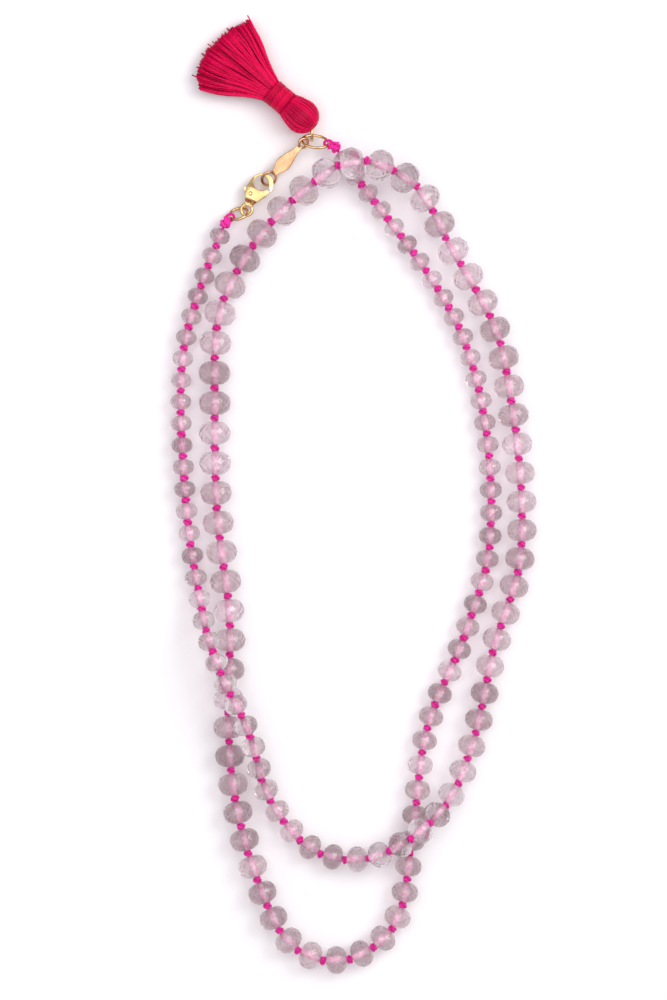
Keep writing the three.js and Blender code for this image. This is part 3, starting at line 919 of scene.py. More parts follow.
@dataclass
class Finishes:
    """Every material of the mala, built once."""

    effects: Effects = field(default_factory=Effects)
    stone: bpy.types.Material = field(init=False)
    bore: bpy.types.Material = field(init=False)
    silk: bpy.types.Material = field(init=False)
    gold: bpy.types.Material = field(init=False)
    rosy_gold: bpy.types.Material = field(init=False)
    steel: bpy.types.Material = field(init=False)
    skirt: bpy.types.Material = field(init=False)
    wound: bpy.types.Material = field(init=False)

    def __post_init__(self) -> None:
        """Builds the materials."""
        self.stone = StoneFinish().build(self.effects)
        self.bore = BoreFinish().build(self.effects)
        self.silk = ThreadFinish(
            "hot_pink_silk", (0.95, 0.003, 0.27), (1.0, 0.06, 0.55), 0.42, 2.0, 0.9, 0.6, 0.15
        ).build(self.effects)
        self.gold = GoldFinish(
            "yellow_gold", (0.80, 0.55, 0.26), (0.62, 0.39, 0.17), 0.2, 0.08, 0.25
        ).build(self.effects)
        self.rosy_gold = GoldFinish(
            "rosy_gold", (0.78, 0.47, 0.25), (0.60, 0.33, 0.18), 0.26, 0.1, 0.9
        ).build(self.effects)
        self.steel = GoldFinish("spring_leaf", (0.6, 0.6, 0.6), (0.5, 0.5, 0.5), 0.3, 0.1).build(self.effects)
        self.skirt = ThreadFinish(
            "crimson_thread", (0.16, 0.0, 0.004), (1.0, 0.0, 0.11), 1.3, 2.0, 0.22, 0.5, 0.0
        ).build(self.effects)
        self.wound = ThreadFinish(
            "wound_crimson_thread", (0.13, 0.0, 0.004), (0.95, 0.0, 0.09), 1.1, 2.0, 0.25, 0.45, 0.0
        ).build(self.effects)


# ---- The strand -----------------------------------------------------------------------------------


@dataclass
class Strand:
    """Graduated beads on a hand-knotted silk cord."""

    finishes: Finishes
    end_bead: tuple[float, float] = (5.4, 4.1)
    middle_bead: tuple[float, float] = (8.4, 6.5)
    bead_sides: int = 8
    facets: int = 14
    loose: int = 12
    runs: int = 18
    cord_radius: float = 0.38
    bore_radius: float = 0.66
    face_radius: float = 0.95
    knot_length: float = 1.6
    end_knot_radius: float = 1.4
    loop_radius: float = 1.1
    beads: list[tuple[float, float]] = field(default_factory=list)
    knots: list[Vector] = field(default_factory=list)
    rng: random.Random = field(default_factory=lambda: random.Random(108))

    def __post_init__(self) -> None:
        """Threads the beads on the route."""
        controls = [Vector(p) for p in ROUTE]
        ends = [controls[0] * 2 - controls[1], *controls, controls[-1] * 2 - controls[-2]]
        spans = len(controls) - 1
        samples: list[Vector] = []
        for step in range(4001):
            at = spans * step / 4000
            i = min(int(at), spans - 1)
            samples.append(catmull_rom(ends[i : i + 4], at - i))
        line = np.array(samples)
        run = np.concatenate(([0.0], np.cumsum(np.linalg.norm(np.diff(line, axis=0), axis=1))))
        count = 2 * self.loose + self.runs
        while self._taken(count + 1) <= run[-1]:
            count += 1
        self.beads = self._sizes(count)
        slack = (run[-1] - self._taken(count)) / count
        travelled = 0.0
        for i in range(count + 1):
            x, y, lift = (float(np.interp(travelled, run, line[:, k])) for k in range(3))
            height = (self._rest(max(i - 1, 0)) + self._rest(min(i, count - 1))) / 2
            self.knots.append(Vector((x, y, max(lift, 0.0) + height)))
            travelled += self.beads[i][1] + self.knot_length + slack if i < count else 0.0

    def _sizes(self, count: int) -> list[tuple[float, float]]:
        """The (radius, length) of each of a number of beads."""
        sizes = []
        for i in range(count):
            growth = math.sin(math.pi * (i + 0.5) / count) ** 2
            across, length = (a + (b - a) * growth for a, b in zip(self.end_bead, self.middle_bead))
            sizes.append((across / 2, length))
        return sizes

    def _taken(self, count: int) -> float:
        """The length that a number of beads and their knots take."""
        return sum(length + self.knot_length for _, length in self._sizes(count))

    def _is_loose(self, i: int) -> bool:
        """Whether a bead turns on its own."""
        return i < self.loose or i >= len(self.beads) - self.loose

    def _rest(self, i: int) -> float:
        """The height of a resting bead's centre."""
        corner = 1 / math.cos(math.pi / self.bead_sides)
        return self.beads[i][0] * (corner if self._is_loose(i) else 1.0)

    def build(self) -> None:
        """Builds the cord, the knots, the end knots and the beads."""
        cord, path = self._cord()
        knots = self._knots()
        ends = [self._end_knot(*end) for end in self._ends()]
        stones = [self._bead_stock(seed) for seed in range(5)]
        joined = len(self.beads) - 2 * self.loose
        starts = [self.loose + self._rounded(run * joined / self.runs) for run in range(self.runs + 1)]
        for run, (first, after) in enumerate(zip(starts, starts[1:])):
            name = f"bead_run_{run + 1:02d}"
            self._string(f"stones_{run + 1:02d}", range(first, after), stones, Body.STRAND.value, name)
        for i in range(len(self.beads)):
            if self._is_loose(i):
                name = f"bead_{i + 1:03d}"
                self._string(f"stone_{i + 1:03d}", range(i, i + 1), stones, name, name)
        for stone in stones:
            bpy.data.meshes.remove(stone)

    @staticmethod
    def _rounded(value: float) -> int:
        """The nearest whole number, halves upwards."""
        return math.floor(value + 0.5)

    def _cord(self) -> tuple[bpy.types.Object, list[Vector]]:
        """The silk through every bead.

        Returns:
            The cord and its centreline in the row frame.
        """
        stations: list[Vector] = []
        for a, b in zip(self.knots, self.knots[1:]):
            stations.extend(a.lerp(b, share) for share in (0.0, 0.18, 0.5, 0.82))
        stations.append(self.knots[-1])
        bm = bmesh.new()
        sweep(bm, stations, self.cord_radius, 8)
        cord = finish_piece(
            "silk_strand_cord", bm, [self.finishes.silk], Body.STRAND.value, ("silk_cord",)
        )
        return cord, [TO_ROW @ p for p in stations]

    def _overhand(self, bm: bmesh.types.BMesh, place: Matrix, size: float, stations: int, sides: int) -> None:
        """Ties one overhand knot.

        Args:
            bm: The mesh that takes the knot.
            place: Its frame, with local Y along the cord.
            size: Its size as a share of a strand knot.
            stations: The number of stations of its cord.
            sides: The number of sides of its cord.
        """
        turn = place @ Matrix.Rotation(self.rng.uniform(0, math.tau), 4, "Y")
        path = []
        for i in range(stations):
            t = math.tau * i / (stations - 1)
            reach = 0.6 + 0.3 * math.cos(3 * t)
            local = Vector((reach * math.cos(2 * t), 0.44 * math.sin(3 * t), reach * math.sin(2 * t)))
            path.append(turn @ (local * size))
        tone = self.rng.uniform(0.25, 0.75)
        layer = bm.verts.layers.float.get("tone") or bm.verts.layers.float.new("tone")
        for vert in sweep(bm, path, 0.31 * size, sides):
            vert[layer] = tone

    def _knots(self) -> bpy.types.Object:
        """The overhand knots between the beads."""
        bm = bmesh.new()
        for i in range(1, len(self.knots) - 1):
            along = self.knots[i + 1] - self.knots[i - 1]
            size = self.rng.uniform(1.02, 1.14)
            self._overhand(bm, frame_along_y(self.knots[i], along), size, 28, 6)
        return finish_piece("silk_knots", bm, [self.finishes.silk], Body.STRAND.value)

    def _ends(self) -> list[tuple[str, Vector, Vector, Vector, Vector]]:
        """The two ends: node name, end, neighbour, the wire that the loop holds, and the wire's heading."""
        rings = FindingPlaces()
        return [
            (
                "end_knot_clasp_side", self.knots[0], self.knots[1], rings.knot_on_clasp_ring,
                rings.clasp_ring_wire,
            ),
            (
                "end_knot_tassel_side", self.knots[-1], self.knots[-2], rings.on_connector_ring(0),
                rings.connector_ring_wire,
            ),
        ]

    def _end_knot(
        self, name: str, end: Vector, inner: Vector, wire: Vector, heading: Vector
    ) -> bpy.types.Object:
        """A cluster of knots with its loop round a ring.

        Args:
            name: The plain solid that it stands for.
            end: The strand's end.
            inner: The next knot's place.
            wire: The place on the ring that the loop holds.
            heading: The ring wire's direction there.

        Returns:
            The piece.
        """
        away = (end - inner).normalized()
        centre = end + away * (self.end_knot_radius - self.knot_length / 2 + 0.3)
        bm = bmesh.new()
        self._overhand(bm, frame_along_y(centre - away * 0.35, away), 1.35, 30, 8)
        side = away.cross(UP).normalized()
        self._overhand(bm, frame_along_y(centre + away * 0.5 + side * 0.35, away + side * 0.6), 1.2, 30, 8)
        towards = (wire - centre).normalized()
        outer = frame_along_y(centre + towards * 1.15 - side * 0.3, towards - side * 0.5)
        self._overhand(bm, outer, 1.05, 30, 8)
        spun_ring(
            bm, self.loop_radius, self.loop_radius, self.cord_radius, frame_along_y(wire, heading), 40, 10
        )
        sweep(bm, [end, end.lerp(centre, 0.5), centre], self.cord_radius, 8)
        return finish_piece(
            name.replace("end_knot", "silk_end_knot"), bm, [self.finishes.silk], Body.STRAND.value,
            (name,),
        )

    def _bead_stock(self, seed: int) -> bpy.types.Mesh:
        """A faceted rondelle of radius 1 and half length 1 along Y, with a bore.

        Args:
            seed: The seed of its hand-cut unevenness.

        Returns:
            A mesh that no object shows, its bore wall on material 1.
        """
        cut = random.Random(seed)
        bm = bmesh.new()
        upright = Matrix.Rotation(math.pi / 2, 4, "X")
        rows = ((1.0, 0.3), (0.92, 0.55), (0.71, 0.8), (0.43, 0.945), (0.14, 1.0))
        rows = [*rows, *((-at, radius) for at, radius in reversed(rows))]
        for row, (at, radius) in enumerate(rows):
            turn = Matrix.Rotation(math.pi / self.facets * (row % 2), 4, "Y")
            ring = bmesh.ops.create_circle(
                bm, segments=self.facets, radius=radius,
                matrix=Matrix.Translation((0, at, 0)) @ turn @ upright,
            )["verts"]
            if abs(at) < 1:
                for vert in ring:
                    vert.co.x *= cut.uniform(0.985, 1.01)
                    vert.co.z *= cut.uniform(0.985, 1.01)
                    vert.co.y += cut.uniform(-0.015, 0.015)
        bmesh.ops.delete(bm, geom=list(bm.edges), context="EDGES_FACES")
        if not bm.verts:
            raise RuntimeError("the bead's rings were lost")
        bmesh.ops.convex_hull(bm, input=bm.verts)
        bmesh.ops.dissolve_limit(bm, angle_limit=0.002, verts=bm.verts, edges=bm.edges)
        caps = [f for f in bm.faces if abs(f.normal.y) > 0.999]
        bmesh.ops.inset_individual(bm, faces=caps, thickness=0.1)
        rims = [f for f in bm.faces if abs(f.normal.y) > 0.999 and f.calc_center_median().xz.length < 0.01]
        edges = list({e for f in rims for e in f.edges})
        bmesh.ops.delete(bm, geom=rims, context="FACES_ONLY")
        walls = bmesh.ops.bridge_loops(bm, edges=edges)["faces"]
        for wall in walls:
            wall.material_index = 1
            wall.smooth = True
        bmesh.ops.recalc_face_normals(bm, faces=bm.faces)
        stock = bpy.data.meshes.new(f"bead_stock_{seed}")
        bm.to_mesh(stock)
        bm.free()
        return stock

    def _string(
        self, name: str, which: range, stones: list[bpy.types.Mesh], body: str, node: str
    ) -> None:
        """Strings some neighbouring beads as one piece.

        Args:
            name: The piece's name.
            which: The beads' numbers.
            stones: The bead stock.
            body: The body that they move with.
            node: The plain solid that they stand for.
        """
        bm = bmesh.new()
        layer = bm.verts.layers.float.new("tone")
        for i in which:
            radius, length = self.beads[i]
            middle = (self.knots[i] + self.knots[i + 1]) / 2
            turn = Matrix.Rotation(self.rng.uniform(0, math.tau), 4, "Y")
            place = frame_along_y(middle, self.knots[i + 1] - self.knots[i]) @ turn
            tone = self.rng.choice((0.1, 0.25, 0.35, 0.45, 0.55, 0.7, 0.9))
            had = len(bm.verts)
            bm.from_mesh(self.rng.choice(stones))
            bm.verts.ensure_lookup_table()
            for vert in bm.verts[had:]:
                out = Vector((vert.co.x, 0.0, vert.co.z))
                reach = out.length
                if reach < 0.25:
                    reach = self.bore_radius
                elif reach < 0.35:
                    reach = self.face_radius
                else:
                    reach *= radius * 1.03
                out = out.normalized() * reach
                vert.co = place @ Vector((out.x, vert.co.y * length / 2, out.z))
                vert[layer] = tone
        finish_piece(name, bm, [self.finishes.stone, self.finishes.bore], body, (node,))


# ---- The findings ---------------------------------------------------------------------------------


@dataclass
class FindingPlaces:
    """Where the rings, the clasp and the connector link into each other."""

    clasp_ring_radius: float = 2.5
    clasp_ring_slope: float = 52.0
    connector_across: float = 3.6
    connector_up: float = 2.45
    connector_slope: float = 45.0
    limb_in_loop: tuple[float, float, float] = (10.2, -1.9, 0.05)
    tassel_ring_offset: tuple[float, float, float] = (0.0, 0.65, 0.8)

    def __post_init__(self) -> None:
        """Works out the frames."""
        self.clasp = frame_along_x(TAIL_CENTRE, CLASP_HEADING)
        self.knot_to_tail = Vector((0.9, 0.434, -0.2)).normalized()
        self.clasp_ring_wire = climbing(self.knot_to_tail, self.clasp_ring_slope)
        self.clasp_ring_centre = TAIL_CENTRE - self.knot_to_tail * self.clasp_ring_radius
        self.knot_on_clasp_ring = TAIL_CENTRE - self.knot_to_tail * (2 * self.clasp_ring_radius)
        self.connector_ring_wire = climbing(CONNECTOR_RING_HEADING, self.connector_slope)
        self.eye = self.on_connector_ring(150)
        self.loop = self.clasp @ Vector(self.limb_in_loop)
        self.tassel_ring_centre = self.on_connector_ring(252) + Vector(self.tassel_ring_offset)

    def on_connector_ring(self, angle: float) -> Vector:
        """A place on the connector ring's wire, at an angle in degrees from the strand's end of it."""
        turn = math.radians(angle)
        across = CONNECTOR_RING_HEADING * (self.connector_across * math.cos(turn))
        rise = self.connector_ring_wire * (self.connector_up * math.sin(turn))
        return CONNECTOR_RING_CENTRE + across + rise


@dataclass
class Rings:
    """The three round-wire jump rings."""

    finishes: Finishes
    places: FindingPlaces
    wire: float = 0.38
    tassel_ring_radius: float = 2.1

    def build(self) -> None:
        """Builds the rings, each on its own body."""
        at = self.places
        radius = at.clasp_ring_radius
        clasp = frame_along_y(at.clasp_ring_centre, at.knot_to_tail.cross(at.clasp_ring_wire))
        self._ring("clasp_ring", radius, radius, clasp, Body.CLASP_RING)
        axis = at.connector_ring_wire.cross(CONNECTOR_RING_HEADING)
        connector = frame_along_y(CONNECTOR_RING_CENTRE, axis, at.connector_ring_wire)
        self._ring("connector_ring", at.connector_across, at.connector_up, connector, Body.CONNECTOR_RING)
        tassel = frame_along_y(at.tassel_ring_centre, Vector((1.0, 0.0, 0.0)))
        self._ring("tassel_ring", self.tassel_ring_radius, self.tassel_ring_radius, tassel, Body.TASSEL)

    def _ring(self, node: str, across: float, up: float, place: Matrix, body: Body) -> None:
        """Builds one ring.

        Args:
            node: The plain solid that it stands for.
            across: Its centreline's half width.
            up: Its half height.
            place: Its frame.
            body: The body that it moves with.
        """
        bm = bmesh.new()
        spun_ring(bm, across, up, self.wire, place)
        finish_piece(f"gold_{node}", bm, [self.finishes.gold], body.value, (node,))


@dataclass
class Clasp:
    """The lobster clasp: a hollow cast body with its hook, a sprung lever, its rivet and a leaf spring."""

    finishes: Finishes
    places: FindingPlaces
    thickness: float = 3.2
    hook_thickness: float = 1.2
    neck_thickness: float = 1.1
    eye: tuple[float, float, float] = (8.2, -0.55, 2.05)
    lever_thickness: float = 1.2
    mouth_radius: float = 5.25
    pin_radius: float = 0.4
    pin_length: float = 2.8
    clearance: float = 0.15
    tail_loop: tuple[float, float] = (1.5, 0.42)
    back: tuple[tuple[float, float], ...] = (
        (4.0, -2.3), (2.4, -1.35), (1.2, -0.7), (1.2, 0.7), (2.6, 1.75), (4.4, 2.45), (6.6, 2.55),
        (8.8, 2.15),
        (10.3, 1.0), (11.1, -0.7), (10.7, -2.5), (9.3, -3.65), (7.6, -4.0), (5.7, -3.3),
    )
    lever: tuple[tuple[float, float], ...] = (
        (3.8, 1.35), (4.3, 2.0), (4.75, 3.15), (5.6, 3.2), (5.4, 2.0), (5.25, 0.9), (5.55, -0.4), (6.1, -1.5),
        (7.1, -2.55), (7.05, -3.3), (6.5, -3.6), (5.8, -3.05), (5.0, -2.0), (4.2, -0.6), (3.8, 0.4),
    )

    def build(self) -> None:
        """Builds the four pieces."""
        self._body()
        half = self.lever_thickness / 2
        plate = plump_plate(smooth_outline(list(self.lever), 5), half, [(0, half), (12, half)], 0.0)
        bm = cast(cut_from(plate, [self._rod(self.pin_radius + self.clearance)]), CLASP_GRAIN, 3)
        bmesh.ops.transform(bm, matrix=self.places.clasp, verts=bm.verts)
        finish_piece(
            "gold_clasp_lever", bm, [self.finishes.gold], Body.LEVER.value, ("clasp_lever",)
        )
        pin = bmesh.new()
        bmesh.ops.create_cone(
            pin, cap_ends=True, segments=24, radius1=self.pin_radius, radius2=self.pin_radius,
            depth=self.pin_length,
        )
        self._round_rims(pin, 0.1)
        at_pivot = self.places.clasp @ Matrix.Translation((*CLASP_PIVOT, 0.0))
        bmesh.ops.transform(pin, matrix=at_pivot, verts=pin.verts)
        finish_piece("gold_clasp_pin", pin, [self.finishes.gold], Body.CLASP.value, ("clasp_pin",))
        leaf = bmesh.new()
        sized = Matrix.Translation((3.26, 1.0, 0.0)) @ Matrix.Diagonal((0.2, 1.7, 1.0, 1.0))
        bmesh.ops.create_cube(leaf, size=1.0, matrix=sized)
        self._round_rims(leaf, 0.05)
        bmesh.ops.transform(leaf, matrix=self.places.clasp, verts=leaf.verts)
        finish_piece(
            "clasp_leaf_spring", leaf, [self.finishes.steel], Body.CLASP.value, ("clasp_spring",)
        )

    @staticmethod
    def _round_rims(bm: bmesh.types.BMesh, width: float) -> None:
        """Rounds the sharp rims of a small turned or cut piece."""
        rims = [e for e in bm.edges if len(e.link_faces) == 2 and e.calc_face_angle() > 0.8]
        bmesh.ops.bevel(
            bm, geom=rims, offset=width, offset_type="OFFSET", segments=3, profile=0.5, affect="EDGES",
            material=-1,
        )
        for face in bm.faces:
            face.smooth = len(face.verts) == 4
        bm.loops.layers.uv.verify()

    def _outline(self) -> list[Vector]:
        """The body's outline, in through the mouth and round the eye."""
        full = smooth_outline(list(self.back), 6)
        pivot = Vector((*CLASP_PIVOT, 0.0))
        eye = Vector((self.eye[0], self.eye[1], 0.0))
        open_here = [p.y < -1.0 and p.x > 5.75 and (p - pivot).length < self.mouth_radius for p in full]
        first = next(i for i in range(len(full)) if open_here[i - 1] and not open_here[i])
        # The rim runs from the mouth's lower corner, round the tail and the crown, to the hook's end.
        rim = [full[i % len(full)] for i in range(first, first + len(full)) if not open_here[i % len(full)]]
        arc = []
        low = math.atan2(rim[-1].y - pivot.y, rim[-1].x - pivot.x)
        for step in range(1, 40):
            angle = low + math.radians(step * 1.2)
            place = pivot + Vector((math.cos(angle), math.sin(angle), 0.0)) * self.mouth_radius
            if (place - eye).length <= self.eye[2]:
                break
            arc.append(place)
        at = arc[-1] - eye
        turn = math.atan2(at.y, at.x)
        round_eye = []
        for step in range(1, 60):
            angle = turn + math.radians(step * 6)
            place = eye + Vector((math.cos(angle), math.sin(angle), 0.0)) * self.eye[2]
            round_eye.append(place)
            if place.y < -1.9 and place.x < eye.x:
                break
        return [*rim, *arc, *round_eye, Vector((5.95, -1.95, 0.0))]

    def _body(self) -> None:
        """Builds the body with its tail loop and collar, and cuts the lever's slot and the rivet's hole."""
        half = self.thickness / 2
        thin = [
            (0.9, self.neck_thickness / 2), (1.9, self.neck_thickness / 2), (3.0, half), (6.0, half),
            (8.9, self.hook_thickness / 2), (12.0, self.hook_thickness / 2),
        ]
        depth = self.lever_thickness / 2 + self.clearance
        corners = (
            (3.0, -0.4), (3.0, 4.0), (6.2, 4.0), (6.2, 0.9), (7.4, 0.0), (7.4, -2.2), (7.0, -5.0),
            (5.9, -5.0), (4.6, -2.9), (3.4, -0.9),
        )
        slot = bmesh.new()
        floor = [slot.faces.new([slot.verts.new((x, y, -depth)) for x, y in corners])]
        lifted = bmesh.ops.extrude_face_region(slot, geom=floor, use_keep_orig=True)["geom"]
        top = [g for g in lifted if isinstance(g, bmesh.types.BMVert)]
        bmesh.ops.translate(slot, verts=top, vec=(0.0, 0.0, 2 * depth))
        bm = cut_from(plump_plate(self._outline(), half, thin, 0.3), [slot, self._rod(self.pin_radius + 0.1)])
        collar = bmesh.new()
        bmesh.ops.create_cone(collar, cap_ends=True, segments=20, radius1=0.8, radius2=0.95, depth=0.8)
        along = Matrix.Translation((1.75, 0.0, 0.0)) @ Matrix.Rotation(math.pi / 2, 4, "Y")
        add_mesh(bm, collar, along @ Matrix.Diagonal((0.75, 1.0, 1.0, 1.0)))
        radius, wire = self.tail_loop
        lying = frame_along_y(Vector((0, 0, 0)), UP, Vector((1, 0, 0)))
        spun_ring(bm, radius, radius, wire, lying, 48, 12)
        bm = cast(bm, CLASP_GRAIN, 4)
        bmesh.ops.transform(bm, matrix=self.places.clasp, verts=bm.verts)
        finish_piece(
            "gold_clasp_body", bm, [self.finishes.gold], Body.CLASP.value, ("clasp_body",)
        )

    @staticmethod
    def _rod(radius: float) -> bmesh.types.BMesh:
        """A long rod of some radius on the rivet's line, for cutting."""
        bm = bmesh.new()
        place = Matrix.Translation((*CLASP_PIVOT, 0.0))
        bmesh.ops.create_cone(
            bm, cap_ends=True, segments=24, radius1=radius, radius2=radius, depth=6.0, matrix=place
        )
        return bm


@dataclass
class Connector:
    """The spoon-shaped connector tag between its eye and its oval loop."""

    finishes: Finishes
    places: FindingPlaces
    thickness: float = 1.0
    eye: tuple[float, float] = (1.3, 0.4)
    loop: tuple[float, float, float] = (1.95, 2.4, 0.4)

    def build(self) -> None:
        """Builds the tag as one casting."""
        at = self.places
        span = (at.loop - at.eye).length
        inner = self.eye[0] - self.eye[1] / 2
        outer = span - self.loop[0]
        half = [
            (inner - 0.1, 0.5), (inner + 2.0, 0.9), (outer - 3.6, 1.95), (outer - 1.2, 1.15),
            (outer + 0.05, 0.6),
        ]
        outline = smooth_outline([*half, *((x, -y) for x, y in reversed(half))], 5)
        bm = plump_plate(outline, self.thickness / 2, [(0, 0.5), (inner + 1.6, 0.62), (outer, 0.46)], 0.35)
        bmesh.ops.transform(bm, matrix=frame_along_x(at.eye, at.loop - at.eye), verts=bm.verts)
        tilted = frame_along_y(at.eye, Vector((0.42, -0.39, 0.82)))
        spun_ring(bm, self.eye[0], self.eye[0], self.eye[1], tilted, 48, 12)
        limb = Vector((-0.481, 0.876, 0.0))
        upright = frame_along_y(at.loop, UP * 0.669 - limb * 0.743, limb)
        spun_ring(bm, *self.loop, upright, 48, 12)
        finish_piece(
            "gold_connector_tag", cast(bm, TAG_GRAIN, 3), [self.finishes.rosy_gold],
            Body.CONNECTOR.value, ("connector_tag",),
        )


# ---- The tassel -----------------------------------------------------------------------------------


@dataclass
class Tassel:
    """A thread tassel: a looped head over its ring, a wound neck and a loose skirt."""

    finishes: Finishes
    head_radius: float = 4.7
    head_wire: float = 0.2
    core_radius: float = 2.9
    neck_start: float = 5.0
    neck_length: float = 5.6
    wrap_radius: float = 3.6
    wrap_turns: int = 13
    skirt_threads: int = 560
    head_threads: int = 66
    hem: tuple[tuple[float, float], ...] = (
        (-10.9, 27.6), (-8.4, 28.7), (-5.6, 29.7), (0.0, 30.5), (5.6, 30.4), (9.6, 28.8), (12.0, 25.8),
    )
    rng: random.Random = field(default_factory=lambda: random.Random(27))

    def __post_init__(self) -> None:
        """Works out the tassel's frame."""
        self.place = frame_along_x(TASSEL_HEAD_PLACE, TASSEL_HEADING)

    def build(self) -> None:
        """Builds the head, the wound neck and the skirt."""
        self._head()
        self._wrap()
        self._skirt()

    def _finish(self, name: str, bm: bmesh.types.BMesh, material: bpy.types.Material, node: str) -> None:
        """Places a finished part of the tassel."""
        bmesh.ops.transform(bm, matrix=self.place, verts=bm.verts)
        finish_piece(name, bm, [material], Body.TASSEL.value, (node,))

    @staticmethod
    def _start() -> bmesh.types.BMesh:
        """An empty mesh whose vertices carry a share of the dye, or painted shade where their tone is set low
        for it.
        """
        bm = bmesh.new()
        bm.verts.layers.float.new("tone")
        return bm

    def _dye_or_shade(self, bm: bmesh.types.BMesh, verts: list[bmesh.types.BMVert], tone: float) -> None:
        """Gives some vertices their own share of the dye, or painted shade."""
        layer = bm.verts.layers.float.get("tone")
        for vert in verts:
            vert[layer] = tone

    def _head(self) -> None:
        """Threads doubled over the ring, laid side by side round a core."""
        bm = self._start()
        wire = self.head_wire
        outer = self.head_radius - wire
        for i in range(self.head_threads):
            around = math.tau * (i + self.rng.uniform(-0.14, 0.14)) / self.head_threads
            lean = self.rng.uniform(-0.08, 0.08)
            depth = self.rng.choice((0.0, 0.04, 0.1, 0.18, 0.24))
            path = []
            for step in range(15):
                along = step / 14
                polar = math.radians(14 + 122 * along)
                x = -outer * math.cos(polar)
                reach = outer * math.sin(polar) - depth
                if along > 0.75:
                    ease = (along - 0.75) / 0.25
                    x = x + (self.neck_start + 0.25 - x) * ease**1.5 * 0.9
                    reach = max(reach, self.core_radius + 0.1 * (1 - ease))
                turn = around + lean * math.sin(math.pi * along)
                path.append(Vector((x, reach * math.cos(turn), reach * math.sin(turn))))
            self._dye_or_shade(bm, sweep(bm, path, wire, 6), self.rng.uniform(0.0, 1.0))
        core = outer - 0.2
        made = bmesh.ops.create_uvsphere(bm, u_segments=40, v_segments=24, radius=core)["verts"]
        along = self.neck_start + self.neck_length
        neck = bmesh.ops.create_cone(
            bm, cap_ends=True, segments=32, radius1=self.core_radius, radius2=self.core_radius, depth=along,
            matrix=Matrix.Translation((along / 2, 0, 0)) @ Matrix.Rotation(math.pi / 2, 4, "Y"),
        )["verts"]
        # Painted shade: the core and neck take the darkest dye in place of the shade in the gaps between the
        # threads.
        self._dye_or_shade(bm, made + neck, 0.0)
        for face in {f for v in made for f in v.link_faces}:
            face.smooth = True
        self._finish("tassel_thread_head", bm, self.finishes.skirt, "tassel_head")

    def _wrap(self) -> None:
        """One thread wound round and round the neck."""
        bm = self._start()
        steps = 22 * self.wrap_turns
        pitch = (self.neck_length - 0.1) / self.wrap_turns
        wire = pitch * 0.52
        path = []
        for step in range(steps + 1):
            turn = math.tau * step / 22
            share = step / steps
            belly = self.wrap_radius - wire - 0.1 * math.sin(math.pi * share) + self.rng.uniform(-0.05, 0.05)
            x = self.neck_start + 0.1 + share * (self.neck_length - 0.2)
            path.append(Vector((x, belly * math.cos(turn), belly * math.sin(turn))))
        wound = sweep(bm, path, wire, 6)
        for turn in range(self.wrap_turns + 1):
            self._dye_or_shade(bm, wound[turn * 132 : (turn + 1) * 132], self.rng.uniform(0.25, 1.0))
        # Painted shade: a lining in the darkest dye under the wound thread, showing as shade between its
        # turns.
        under = self.wrap_radius - 1.6 * wire
        middle = self.neck_start + self.neck_length / 2
        shaded_lining = bmesh.ops.create_cone(
            bm, cap_ends=True, segments=32, radius1=under, radius2=under, depth=self.neck_length - 0.3,
            matrix=Matrix.Translation((middle, 0, 0)) @ Matrix.Rotation(math.pi / 2, 4, "Y"),
        )["verts"]
        self._dye_or_shade(bm, shaded_lining, 0.0)
        self._finish("tassel_wound_neck", bm, self.finishes.wound, "tassel_neck_wrap")

    def _skirt(self) -> None:
        """The loose threads, fanned out and lying on each other."""
        bm = self._start()
        sides, reaches = zip(*self.hem)
        root_x = self.neck_start + self.neck_length - 0.6
        locks = [self.rng.uniform(-1, 1) for _ in range(34)]
        for i in range(self.skirt_threads):
            lock = self.rng.choice(locks)
            across = max(-1.0, min(1.0, lock + self.rng.gauss(0, 0.05)))
            if i % 3 == 0:
                across = self.rng.uniform(-1.0, 1.0)
            over = self.rng.uniform(-1.0, 1.0)
            round_off = math.sqrt(max(1 - across * across * 0.8, 0.1))
            middle, half = (sides[0] + sides[-1]) / 2, (sides[-1] - sides[0]) / 2
            side = middle + half * across
            reach = float(np.interp(side, sides, reaches)) + self.rng.gauss(0, 0.28)
            if self.rng.random() < 0.06:
                reach += self.rng.uniform(0.3, 1.3)
                side += self.rng.uniform(-1.1, 1.1)
            start = Vector((root_x, across * 2.85, over * 2.75 * round_off))
            drop = -0.55 + over * 1.75 * (0.75 + 0.25 * round_off)
            end = Vector((reach, side, drop))
            wave = self.rng.uniform(-0.5, 0.5)
            phase = self.rng.uniform(0, math.tau)
            path = []
            for step in range(8):
                share = step / 7
                place = start.lerp(end, share)
                flare = share * share * (3 - 2 * share)
                place.y = start.y + (end.y - start.y) * (0.62 * share + 0.38 * flare)
                bulge = math.sin(math.pi * share)
                place.z += 0.55 * over * bulge
                place.y += wave * bulge * math.sin(phase + 5 * share)
                path.append(place)
            # Partly painted shade: threads lower in the pile are darker, mixed with a random share of the
            # dye.
            pile_height_shade = 0.5 + 0.5 * over
            tone = min(1.0, max(0.0, 0.62 * pile_height_shade + self.rng.gauss(0.05, 0.3)))
            self._dye_or_shade(bm, sweep(bm, path, self.rng.uniform(0.16, 0.22), 5), tone)
        self._finish("tassel_thread_skirt", bm, self.finishes.skirt, "tassel_skirt")


# ---- The studio -----------------------------------------------------------------------------------


@dataclass(frozen=True)
class Softbox:
    """One large soft light."""

    name: str
    place: tuple[float, float, float]
    size: float
    power: float
    colour: tuple[float, float, float]

    def build(self, aim: Vector) -> None:
        """Hangs the light and points it.

        Args:
            aim: The point that it faces.
        """
        data = bpy.data.lights.new(self.name, "AREA")
        data.shape, data.size = "SQUARE", self.size
        data.energy, data.color = self.power, self.colour
        lamp = bpy.data.objects.new(self.name, data)
        lamp.location = self.place
        lamp.rotation_euler = (aim - Vector(self.place)).to_track_quat("-Z", "Y").to_euler()
        bpy.context.scene.collection.objects.link(lamp)


